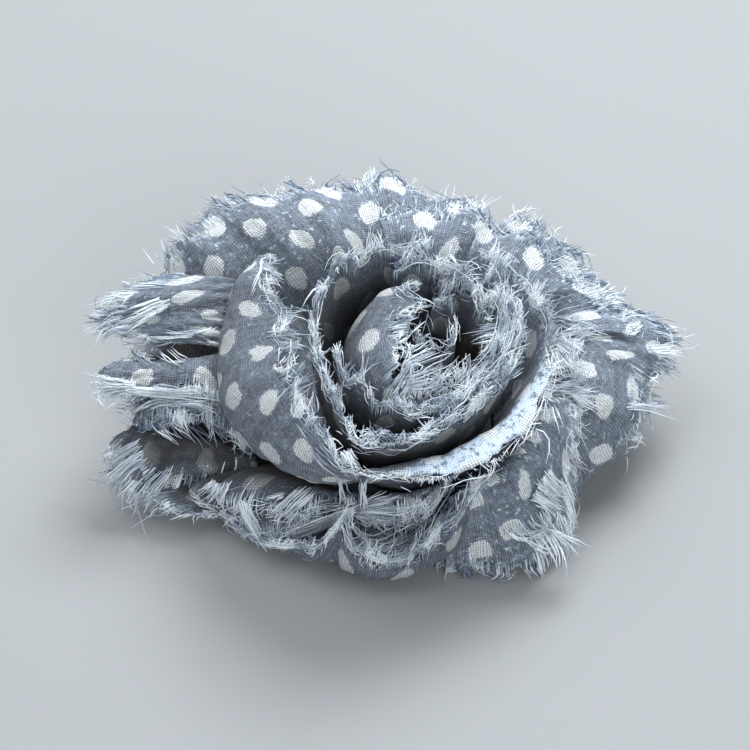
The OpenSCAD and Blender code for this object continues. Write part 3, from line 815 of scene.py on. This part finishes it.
# The plain layer under the folds is darkened all over with painted shade. The folds carry painted shade in
# their hollows, and the mouth fold's threads are darkened as painted shade.
chiffon_strip("left_ruffle", left_under, [
    dict(seed=32, wave=0.6, pleat=0.15, fray=1.6, dusty=-0.5, deep=0.9),
    dict(seed=31, dots=(2, 0.4), rows=upper_fold, wave=0.7, pleat=0.06, crumple=0.6, fray=3.2,
         reach_out=2.2, dusty=-0.02),
    dict(seed=33, dots=(2.4, 2), rows=middle_fold, wave=0.7, pleat=0.06, crumple=0.6, fray=1.2, runs=4,
         run_long=1.8, spread=0.5, pale=0.7, band=0.88, dusty=-0.15, deep=0.25),
    dict(seed=34, rows=mouth_fold, wave=0.3, pleat=0.1, fray=3, runs=3, run_long=1.6, dusty=-0.4, deep=0.5,
         white=-0.25),
    dict(seed=35, dots=(2.4, 6), rows=lower_fold, wave=0.8, pleat=0.08, crumple=0.65, fray=3.6, reach_out=2,
         dusty=-0.3, deep=0.65, fans=left_fans),
])


# The front ruffle: a short full strip sewn under the front of the foot and folded
# outwards like a pocket, with two shorter layers of the same chiffon inside it.

front_ruffle = sewn_rows(13.6, -2.2, [
    [203, 22, -5, 206, 25.1, -4],
    [212, 22.5, -6, 214.5, 23.4, -4.5],
    [219, 23, -6.5, 220, 22.9, -4.5],
    [228, 23.5, -7, 229.5, 21.2, -3],
    [236, 24, -7, 237, 20.6, -0.8],
    [241, 24, -7, 241.5, 19.6, 2.2],
    [244.5, 24, -7, 244.5, 18.8, 4.8],
    [249, 24, -7, 249, 19.4, 2],
    [254, 23.5, -7, 254, 19.6, 0.4],
    [260, 23, -7.2, 260, 19.4, 0],
    [267, 22.5, -7.2, 268, 18.9, 0.4],
    [273, 22, -7, 273.5, 18.4, 1.6],
    [278, 21.5, -6.5, 279, 17.8, 3.4],
    [283, 21, -6, 285, 17, 5.2],
    [288, 20.5, -5.5, 292, 16.4, 7],
    [294, 20, -5, 299, 16, 8.6],
])
# Its cloth is darkened with painted shade, most in the two inner layers of the pocket.
chiffon_strip("front_ruffle", front_ruffle, [
    dict(seed=41, wave=0.3, pleat=0.12, crumple=0.2, fray=1.4, runs=5, run_long=1.5, spread=0.4,
         dusty=-0.25),
    dict(seed=42, start=0.35, reach=0.86, lift=-1, wave=0.4, fray=1.8, deep=0.6),
    dict(seed=43, start=0.45, end=0.95, reach=0.74, lift=-2, wave=0.5, fray=1.8, deep=0.6),
])


# The right ruffle: a wide strip at the front right, sewn in two layers, that falls from
# under the cup's rim to the surface in soft pleats.

right_ruffle = sewn_rows(13.2, -2.2, [
    [285, 15, 4, 283, 17.2, -4.8],
    [290, 14.6, 11, 290, 18.2, -4.4],
    [295, 14.6, 17, 296, 19.2, -3.4],
    [301, 14.6, 19, 301, 20, -3.8],
    [309, 14.4, 20, 309, 21.2, -3.8],
    [317, 14.4, 20, 317, 22.6, -4],
    [327, 14.6, 20, 327, 21.6, -2.2],
    [337, 15, 19, 337, 21.4, -3.4],
    [346, 16, 18, 347, 23, -4.8],
    [354, 17, 17, 355, 25.2, -3.6],
    [362, 18, 16, 363, 29.4, -1.8],
    [370, 18, 15, 373, 31.4, -0.8],
])
right_fall = sewn_rows(13.2, -1, [
    [288, 14.8, 14, 286, 18, -4.6],
    [294, 14.8, 17, 295, 19.6, -4],
    [300, 14.8, 19, 303, 21.4, -4.4],
    [307, 14.8, 20, 311, 23.2, -4],
    [314, 14.8, 20.5, 319, 23.6, -3.4],
    [320, 14.8, 21, 327, 23, -1.6],
    [326, 14.8, 21, 334, 22.2, 1],
    [332, 14.8, 20.5, 340, 21.2, 4.2],
    [338, 14.6, 19.5, 346, 20.4, 7.4],
    [344, 14.4, 18, 352, 19.6, 10],
])
fall_fans = [
    (60, 0.6, [[16.1, -11.2, 8.5, 17.1, -11.8, 6.8, 18.8, -11.7, 3.9],
        [14.7, -13.2, 7.5, 16.3, -13.6, 5.8, 19.2, -12.3, 2.2],
        [14.6, -14.2, 5.9, 17.1, -13.6, 4.4, 18.3, -14, 1.6]]),
    (80, 0.5, [[16.5, -13.8, 4.6, 17.2, -14.5, 2.6, 17.9, -15.2, -0.1],
        [11.5, -16.7, 3.3, 13.5, -17.6, 0.5, 16.8, -15.4, 1.1],
        [16.5, -15.5, 1.3, 18.6, -17, 0.1, 18.4, -20.1, -0.3],
        [16.8, -15.2, 1.7, 19, -15.9, 1.2, 21.3, -16.4, 0.3]]),
    (24, 0.4, [[8.5, -12.1, 8.4, 7.3, -13.9, 8.9, 6, -14.9, 8.2],
        [9.1, -12.8, 8.6, 7.9, -14.3, 8.9, 6.5, -15.6, 8]]),
]
chiffon_strip("right_ruffle", right_ruffle, [
    dict(seed=51, dots=(1.2, 0.8), wave=0.5, pleat=0.06, crumple=0.22,
         fray=[(0, 0.4), (0.2, 0.5), (0.35, 1.6), (0.55, 1.4), (0.6, 0), (0.95, 0), (1, 1.4)], dusty=0.3),
    dict(seed=52, dots=(0.4, 7.2), rows=right_fall, wave=0.3, pleat=0.06, crumple=0.25,
         fray=[(0, 0.8), (0.3, 1), (0.45, 2.6), (1, 2.6)], reach_out=1.9,
         pale=[(0, 0), (0.4, 0), (0.5, 0.35), (1, 0.35)], band=0.9, dusty=0.34, fans=fall_fans),
])


# The side ruffle: the strip at the right and back right, tightly gathered beside the
# cup, from where its pleats fan out, over two shorter layers sewn in with it.

side_ruffle = sewn_rows(13.2, -2.2, [
    [352, 17, 16.6, 345, 23, -2.6],
    [359, 17.8, 16.8, 352, 25.4, -1],
    [366, 18.5, 17.5, 360, 28, 1.4],
    [378, 19, 17, 371, 30.4, 3],
    [383, 20, 16, 376, 33.6, 2.4],
    [388, 20, 15, 381, 35.6, 2.8],
    [394, 20, 13.5, 388, 33.6, 2.6],
    [400, 20, 13, 395, 31.4, 4.6],
    [406, 20, 12, 402, 31, 4.2],
    [412, 20, 12, 409, 30.4, 6.8],
    [419, 20, 12, 418, 31.2, 6],
    [426, 20, 12, 426, 29.6, 8.4],
])
side_fans = [
    (50, 0.6, [[17.8, 8, 8.6, 19.1, 7, 9.9, 20.9, 6, 9.5],
        [17.6, 7.2, 8.4, 18.7, 4.7, 11.1, 20.3, 3.9, 9.5],
        [17.6, 6.2, 8.6, 18.5, 3, 10.8, 19.8, 2.2, 9.4],
        [17.3, 5.4, 8.8, 17.8, 2.6, 9.7, 18.5, 0.9, 9.9]]),
    (36, 0.5, [[19.5, 0.5, 9.3, 20.7, -0.5, 9.2, 23.2, 0.3, 8.1],
        [19.3, -0.3, 9.1, 20.5, -1.3, 8.5, 22.9, -0.8, 7.6],
        [19.5, -0.9, 8.7, 20.4, -1.4, 8.3, 21.9, -1.6, 7.3]]),
    (6, 0.5, [[16.3, 0.2, 8.3, 15.9, -7.7, 16.1, 17.8, -7.3, 10.3],
        [16.6, -0.2, 8.8, 16.5, -7.2, 15, 18.1, -6.8, 10.2]]),
    (26, 0.5, [[29.5, 9.4, 5.5, 32, 11.2, 3.2, 33.6, 11.5, 3.7],
        [29.4, 8.3, 5.9, 31.6, 7.4, 6.3, 33.9, 7.6, 5.9]]),
    (8, 0.4, [[29.8, 5.9, 4.2, 30.5, 5, 4, 32.3, 4.8, 3.8],
        [30, 4.8, 4, 30.1, 4.8, 5.2, 30.6, 7, 4]]),
    (36, 0.2, [[27, 2.7, 5.2, 30, 7.6, -0.6, 31.7, 5.2, 0.8],
        [27, 1.8, 4.8, 30.1, 5.4, -1.2, 32.5, 4.7, 0.3],
        [26.7, 0.6, 4.7, 29.4, 0.9, 4.7, 32.5, 0, 3.9]]),
    (50, 0.15, [[22.3, 14.1, 8.3, 24.1, 18, 5.1, 25.3, 18.8, 6.2],
        [23.1, 13.6, 7.8, 25.7, 17.8, 4.5, 27.6, 16.1, 5],
        [23.3, 12.1, 8.3, 25.8, 16.1, 4.9, 28.7, 13.9, 5.2]]),
    (30, 0.2, [[18.3, 11.4, 8.1, 20.4, 10.7, 8.8, 23.5, 9, 9.2],
        [18.3, 10.2, 8.1, 20.6, 8, 9.8, 23.8, 7.2, 8.9]]),
]
chiffon_strip("side_ruffle", side_ruffle, [
    dict(seed=61, dots=(5.6, 2.4), wave=0.5, pleat=0.2, fray=[(0, 0), (0.1, 0), (0.2, 2), (1, 2)],
         reach_out=1.7),
    dict(seed=62, start=0.4, reach=0.78, lift=-0.9, wave=0.7, pleat=0.15, fray=1.8),
    dict(seed=63, start=0.02, end=0.9, reach=0.5, lift=-0.9, wave=0.5, pleat=0.3,
         fray=[(0, 3), (0.1, 5), (0.45, 5), (0.6, 1), (1, 1)], reach_out=2, tufts=2.6, curls=1,
         pale=[(0, 0.3), (0.4, 0.3), (0.6, 0)], band=0.6, fans=side_fans),
])


# The two short upper ruffles, behind the cup and under its front left, each sewn to
# the foot's edge above the petals.

upper_back_ruffle = sewn_rows(12, 0.5, [
    [36, 17.5, 14, 38, 25.5, 10],
    [46, 17, 16, 48, 24.5, 11.4],
    [55, 17, 17, 57, 25.2, 12.4],
    [64, 17, 16, 65, 24, 11.6],
    [73, 17, 18, 73, 24.8, 13],
    [82, 17, 17, 82, 23.6, 12],
    [91, 17, 18, 91, 23.6, 13],
    [101, 16.6, 17, 102, 22.6, 12.8],
])
chiffon_strip("upper_back_ruffle", upper_back_ruffle, [
    dict(seed=71, dots=(3.6, 2.8), wave=0.6, pleat=0.1, crumple=0.2, fray=1.8, reach_out=1.6, dusty=0.25),
])
upper_front_ruffle = [
    [-11.3, -3.9, -2, -30.3, -9.4, 0.5, -25.8, -8.9, -5],
    [-10.9, -5, -2, -27.4, -9.3, 3.5, -23, -10.6, -5.4],
    [-10.3, -6.2, -2, -23.8, -9.1, 5.5, -20.3, -12.3, -5.2],
    [-9.4, -7.5, -2, -20.4, -9.7, 6.2, -17.6, -14.1, -4.4],
    [-8.7, -8.3, -2, -17.1, -11, 6.2, -14.9, -14.2, -3.4],
    [-8.1, -8.9, -2, -13.6, -12.2, 5.9, -12.6, -13.8, -2.2],
    [-7.3, -9.6, -2, -10.1, -12.8, 5.8, -9.8, -12.9, -0.6],
    [-5.6, -10.6, -2, -7.4, -13, 6.4, -6.9, -13, 0.6],
    [-3.7, -11.4, -2, -5.3, -12.9, 7.2, -4.7, -14.3, 0.6],
    [-1.6, -11.9, -2, -2.7, -12.9, 8.3, -2.1, -15.3, 1],
    [0.4, -12, -2, 0, -13, 9.4, 0.5, -14.9, 2.4],
    [2.3, -11.8, -2, 2.8, -12.1, 10.6, 2.7, -14, 4.2],
    [4, -11.3, -2, 4.9, -10.9, 11.5, 4.5, -12.9, 6.2],
]
front_fans = [
    (7, 0.5, [[-9.2, -14.6, 10, -8.7, -14, 7.3, -7.9, -14.2, 3.4],
        [-8.6, -14.6, 9.6, -8.4, -14.6, 7.7, -7.7, -14.2, 3]]),
    (12, 0.4, [[-6.7, -14.5, 9.6, -6.3, -14.1, 6.6, -6, -14.6, 2.8],
        [-5.6, -14.3, 9.6, -5.6, -13.6, 6.5, -5.6, -14.4, 3]]),
    (60, 0.3, [[-6.5, -14.1, 2.8, -4.7, -14.1, 5.7, -1.9, -12.8, 5],
        [-6.3, -14.2, 2.6, -4, -14.9, 5.1, -1, -15.1, 5.6],
        [-6.3, -14.4, 2.4, -3.7, -14.9, 3, -0.1, -15.4, 3.6],
        [-6.4, -14.4, 1.6, -3.9, -14.2, -0.3, -0.7, -14, -1]]),
    (54, 0.45, [[-6.6, -13.7, 2.7, -10.6, -14.9, 2.1, -16.4, -13.7, -4.4],
        [-6.4, -13.9, 2, -9.7, -12.7, -4.4, -15.6, -14.8, -4.3]]),
    (40, 0.5, [[-20.5, -12.5, 0.7, -20.2, -12.5, -3.1, -17.6, -14.9, -4.2],
        [-19.5, -12.8, 1, -19.1, -13.3, -1.7, -17.1, -14.7, -4.4]]),
    (10, 0.6, [[-15.3, -12.2, 2.3, -16.2, -12, 2.3, -17.3, -12.6, 1.6],
        [-15.5, -12.5, 2, -16.3, -12.5, 1.9, -17.1, -13, 1.1]]),
    (36, 0.35, [[-23.9, -9, -0.2, -24.6, -10.1, 0, -26.3, -9.1, -4.2],
        [-23, -9.7, 0.1, -23.5, -10.8, -0.3, -25, -9.8, -4.4],
        [-22, -10.1, 0.9, -22.4, -11.3, 0.5, -23.8, -10.6, -3]]),
    (50, 0.5, [[-7.1, -16.8, 4, -6.3, -14.3, -4.5, -4.3, -16.7, -1.9],
        [-5, -16.4, -2.2, 0.9, -16.2, -6.4, 5.3, -14.4, 7.4],
        [-4.5, -17.1, -2, 2.3, -15.1, -6.1, 6, -15.2, 7.4]]),
    (22, 0.3, [[-13.3, -11, 2.5, -16.2, -13.6, 1.7, -17, -13.8, -1.1],
        [-11.2, -11.7, 2.8, -13.4, -14.6, 3, -15, -14.1, -1.4]]),
]
# Its cloth is darkened with painted shade under the cup, and its threads are made whiter, partly as painted
# light.
chiffon_strip("upper_front_ruffle", upper_front_ruffle, [
    dict(seed=76, dots=(4, 5.2), wave=0.4, pleat=0.12, crumple=0.2,
         fray=[(0, 2.4), (0.3, 1.8), (0.55, 2), (0.65, 4.5), (1, 4.5)], runs=3, run_long=1.6, spread=0.8,
         dusty=-0.35, deep=0.9, white=0.2, fans=front_fans),
    dict(seed=77, start=0.1, end=0.9, reach=0.8, lift=-0.6, wave=0.6, pleat=0.15, fray=2.2, tufts=1.2,
         runs=3, dusty=-0.3, deep=0.9, white=0.2),
])


# The coil: one long strip rolled round its heart and sewn down, each turn standing
# inside the next. Its outermost turn bellies out at the left and flares at the front.

# Its turns carry painted shade: darker where they lie in shade inside the cup, and darkest in their
# hollows.
outer_turn = sewn_rows(10.3, 0.8, [
    [140, 31, 9, 140, 23, 14],
    [152, 33, 9, 152, 20.7, 16],
    [166, 34, 8.5, 166, 17, 17],
    [183, 34, 8, 183, 15.6, 18],
    [199, 32, 7, 199, 16.2, 18],
    [213, 27, 6.5, 213, 16.8, 17.4],
    [229, 22, 7, 229, 17.4, 17],
    [245, 16, 11, 245, 18.6, 16],
    [261, 12.6, 13.5, 261, 17.2, 15.6],
    [281, 11.8, 13.5, 281, 14.8, 15.6],
    [308, 12, 13.5, 308, 13.7, 16],
    [337, 12.4, 13.5, 337, 14.2, 16],
    [361, 13.4, 12, 361, 15.6, 16],
    [384, 13.8, 11, 384, 16.4, 16],
    [406, 13.8, 10, 406, 17.2, 16],
    [430, 13.8, 10, 428, 17.8, 15.5],
])
wall_fans = [
    (34, 0.55, [[-8.2, -14.9, 17, -7.8, -15.4, 16.5, -7, -17.3, 16.5],
        [-9.4, -15.3, 17, -8.6, -16.5, 17.4, -7.5, -16.1, 13.8]]),
    (16, 0.1, [[-13.2, -13.5, 14, -11.8, -15.6, 14.2, -8.2, -14.3, 9.4],
        [-11.4, -13.8, 16.3, -10.4, -16.6, 18, -7, -15.4, 12.6]]),
    (20, 0.25, [[-18.9, 13.7, 14.1, -19.2, 8.5, 17.8, -20.3, 7.2, 15.2],
        [-18, 12.7, 15.5, -17.4, 20, 0.7, -18.8, 5.7, 16.2]]),
]
chiffon_strip("outer_turn", outer_turn, [
    dict(seed=81, dots=(6, 4), wave=0.3, pleat=0.12,
         flare=[(0, 0), (0.5, 0), (0.55, 0.6), (0.6, 2), (0.66, 2.7), (0.71, 2.3), (0.77, 1.2), (0.83, 0)],
         fray=[(0, 1.6), (0.1, 0.9), (0.4, 0.9), (0.47, 0.3), (0.76, 0.3), (0.84, 1.5), (1, 1.8)], runs=2,
         spread=0.6, pale=[(0, 0), (0.42, 0), (0.5, 1), (0.76, 1), (0.84, 0)],
         band=[(0, 0.93), (0.5, 0.93), (0.56, 0.8), (0.62, 0.7), (1, 0.7)],
         dusty=[(0, 0.1), (0.1, -0.2), (0.3, -0.1), (0.42, 0.1)], fans=wall_fans),
])
second_turn = sewn_rows(8.2, 0.5, [
    [88, 12.6, 10, 85, 15, 17],
    [108, 12.8, 10, 108, 13.8, 18],
    [132, 13.4, 10, 132, 14.2, 18.5],
    [158, 13.6, 10, 158, 13.2, 19],
    [184, 13.4, 10, 184, 12.5, 19],
    [206, 13.2, 10, 206, 12.9, 19],
    [226, 13.4, 10, 226, 13.7, 18.5],
    [242, 13.4, 11, 242, 15.6, 17.7],
    [260, 12, 11, 260, 14.1, 17.5],
    [284, 10.6, 10, 284, 11.2, 17.5],
    [314, 10.2, 10, 314, 10.2, 17.5],
    [342, 10.6, 10, 342, 10.9, 17.5],
    [366, 11.2, 10, 366, 12.1, 18],
    [390, 12, 10, 390, 13, 18],
    [412, 12.4, 10, 412, 13.6, 18],
])
chiffon_strip("second_turn", second_turn, [
    dict(seed=86, wave=0.4, pleat=0.15, ragged=0.07, fray=[(0, 1.6), (0.64, 1.6), (0.74, 4.5), (1, 4)],
         reach_out=[(0, 1.4), (0.64, 1.4), (0.74, 1.8), (1, 1.8)], tufts=2.6,
         pale=[(0, 0.1), (0.5, 0.1), (0.65, 0.4), (1, 0.4)], band=0.9, dusty=-0.22,
         deep=[(0, 0.6), (0.6, 0.66), (0.75, 0.36), (1, 0.36)]),
    dict(seed=87, start=0.5, reach=0.95, lift=-0.9, wave=0.5, ragged=0.07, fray=1.8, dusty=-0.22, deep=0.8),
])
third_turn = sewn_rows(6.1, 0.5, [
    [185, 10.2, 9, 185, 10, 17],
    [205, 10, 9, 205, 9.6, 17.2],
    [228, 9.6, 9, 228, 9.1, 16.8],
    [255, 9.2, 9, 255, 8.8, 16.6],
    [286, 8.6, 9, 286, 8.8, 16.9],
    [318, 8.2, 9, 318, 8.4, 17.3],
    [352, 8.6, 9, 352, 9.2, 17.5],
    [381, 9.4, 9, 381, 10.3, 18],
    [410, 10.2, 9, 410, 11.4, 18],
    [438, 10.6, 9, 438, 11.9, 18],
    [465, 10.6, 9, 465, 11.6, 18],
])
coil_fans = [
    (30, -0.1, [[11.5, 7.3, 17.6, 12.5, 0, 18, 6.9, -6.2, 17.6],
        [9.5, 6.8, 17.8, 10.2, 0.5, 18.2, 4.8, -4.7, 17.8]]),
    (56, -0.15, [[12.5, 5, 16.8, 9.4, 2.9, 18.3, 6.1, 2.2, 17.8],
        [12.9, 1.2, 16.6, 9.8, -1, 18.4, 6, -2.4, 17.8],
        [12.1, -2.6, 16.4, 9.1, -6.1, 18.2, 5, -7.4, 17.6]]),
    (36, 0.1, [[-2.3, -1.3, 17.8, -0.8, -0.8, 18.2, 1.2, 0.9, 17.8],
        [-1.9, -4.2, 17.8, 0.2, -2.9, 18.2, 3.4, -1.1, 17.8],
        [-1.2, -6.5, 17.4, 1.7, -6.4, 17.7, 4.5, -4.3, 17.6]]),
]
chiffon_strip("third_turn", third_turn, [
    dict(seed=91, wave=0.4, pleat=0.15, ragged=0.08,
         fray=[(0, 1.8), (0.35, 2.2), (0.48, 5), (0.8, 5), (0.92, 2.4), (1, 1.8)],
         reach_out=[(0, 1.4), (0.48, 2), (0.8, 2), (0.92, 1.4)], tufts=2.6, dusty=-0.22,
         deep=[(0, 0.64), (0.35, 0.64), (0.48, 0.36), (0.8, 0.36), (0.9, 0.64)],
         white=[(0, 0), (0.35, 0), (0.48, 0.12), (0.8, 0.12), (0.9, 0)]),
    dict(seed=92, start=0.3, end=0.9, reach=0.94, lift=-1.1, wave=0.5, ragged=0.08, fray=2.2, pale=0.3,
         band=0.9, dusty=-0.22, deep=0.8, fans=coil_fans),
])
inner_turn = sewn_rows(4, 0.5, [
    [95, 10.5, 13, 92, 8.6, 18],
    [120, 13.5, 15, 104, 7.4, 19],
    [145, 15, 15.5, 100, 5, 19.2],
    [175, 15, 15, 118, 2.6, 18.8],
    [205, 12.5, 13.5, 215, 2.8, 18],
    [235, 10, 12, 252, 4.6, 17.2],
    [270, 7.8, 10, 275, 5.6, 16.5],
    [305, 7, 10, 305, 6, 16.8],
    [340, 6.5, 10, 342, 6.2, 17.2],
])
chiffon_strip("inner_turn", inner_turn, [
    dict(seed=96, wave=0.2, pleat=0.1, ragged=0.04,
         fray=[(0, 0.6), (0.3, 0.9), (0.5, 1.8), (0.6, 4), (1, 4)],
         reach_out=[(0, 1.4), (0.4, 1.4), (0.55, 1.8), (1, 1.8)], tufts=2.2,
         pale=[(0, 0), (0.4, 0), (0.6, 0.6), (1, 0.6)], band=0.9, dusty=0, deep=0.5),
])
heart = sewn_rows(1.5, 0.5, [
    [200, 1.5, 9, 100, 3.1, 16.5],
    [240, 2, 9, 86, 1.3, 16.2],
    [280, 2.6, 9, 25, 1.9, 16.2],
    [325, 4.2, 9, 19, 3.9, 16.6],
    [370, 5.4, 9.5, 41, 5.7, 17.2],
    [410, 5.8, 10, 56, 6.7, 17.6],
    [445, 5.4, 10, 73, 6.7, 17.6],
])
chiffon_strip("heart", heart, [
    dict(seed=99, wave=0.15, pleat=0.1, ragged=0.04, fray=1.1, tufts=1.4, runs=0.6, dusty=-0.35, deep=0.75),
])


# The studio: a plain pale floor, broad soft lights from the back right, the left and,
# weaker, the front, a pale sky and the camera at the photograph's height and distance.

FLOOR_GREY = (0.32, 0.32, 0.318, 1)
SKY_BLUE = (0.71, 0.86, 1.0, 1)
LIT_PLACE = (0.0, 0.0, 0.012)  # the flower's middle, in metres
SEEN_PLACE = (-4.07, 4.59, 13.13)  # in the picture's middle, in mm
ELEVATION = math.radians(48)
DISTANCE = 420.0
PIXELS_PER_MM = 8.1
PICTURE_SIDE = 750
SENSOR = 36.0


def floor(half):
    """A square floor, half its side wide to each side of the flower, in metres."""
    mesh = bpy.data.meshes.new("floor")
    corners = [(-half, -half, 0), (half, -half, 0), (half, half, 0), (-half, half, 0)]
    mesh.from_pydata(corners, [], [(0, 1, 2, 3)])
    material, _, shader = surface_material("pale_floor", 0.7)
    shader.inputs["Base Color"].default_value = FLOOR_GREY
    mesh.materials.append(material)
    ground = bpy.data.objects.new("floor", mesh)
    bpy.context.scene.collection.objects.link(ground)


def area_light(name, place, size, watts, colour):
    """A square area light at a place in metres, turned towards the flower."""
    light = bpy.data.lights.new(name, "AREA")
    light.shape = "SQUARE"
    light.size = size
    light.energy = watts
    light.color = colour
    lamp = bpy.data.objects.new(name, light)
    lamp.location = place
    away = Vector(place) - Vector(LIT_PLACE)
    lamp.rotation_euler = away.to_track_quat("Z", "Y").to_euler()
    bpy.context.scene.collection.objects.link(lamp)


def camera():
    """The camera: it looks down at its elevation, with a lens that shows the picture's scale."""
    back = np.array([0, -math.cos(ELEVATION), math.sin(ELEVATION)])
    data = bpy.data.cameras.new("camera")
    data.sensor_width = SENSOR
    data.lens = PIXELS_PER_MM * DISTANCE * SENSOR / PICTURE_SIDE
    data.clip_start = 0.01
    eye = bpy.data.objects.new("camera", data)
    eye.location = (np.array(SEEN_PLACE) + back * DISTANCE) * MM
    eye.rotation_euler = (math.pi / 2 - ELEVATION, 0, 0)
    bpy.context.scene.collection.objects.link(eye)
    bpy.context.scene.camera = eye


floor(3.0)
camera()
area_light("window", (0.12, 0.31, 0.46), size=0.28, watts=4.05, colour=(0.91, 0.96, 1.0))
area_light("fill", (-0.30, 0.08, 0.56), size=0.5, watts=2.2, colour=(0.93, 0.97, 1.0))
area_light("front", (0.20, -0.5, 0.36), size=0.4, watts=1.9, colour=(0.93, 0.97, 1.0))
world = bpy.data.worlds.new("sky")
world.use_nodes = True
sky = world.node_tree.nodes["Background"]
sky.inputs["Color"].default_value = SKY_BLUE
sky.inputs["Strength"].default_value = 0.32
bpy.context.scene.world = world
bpy.context.scene.view_settings.view_transform = "Standard"
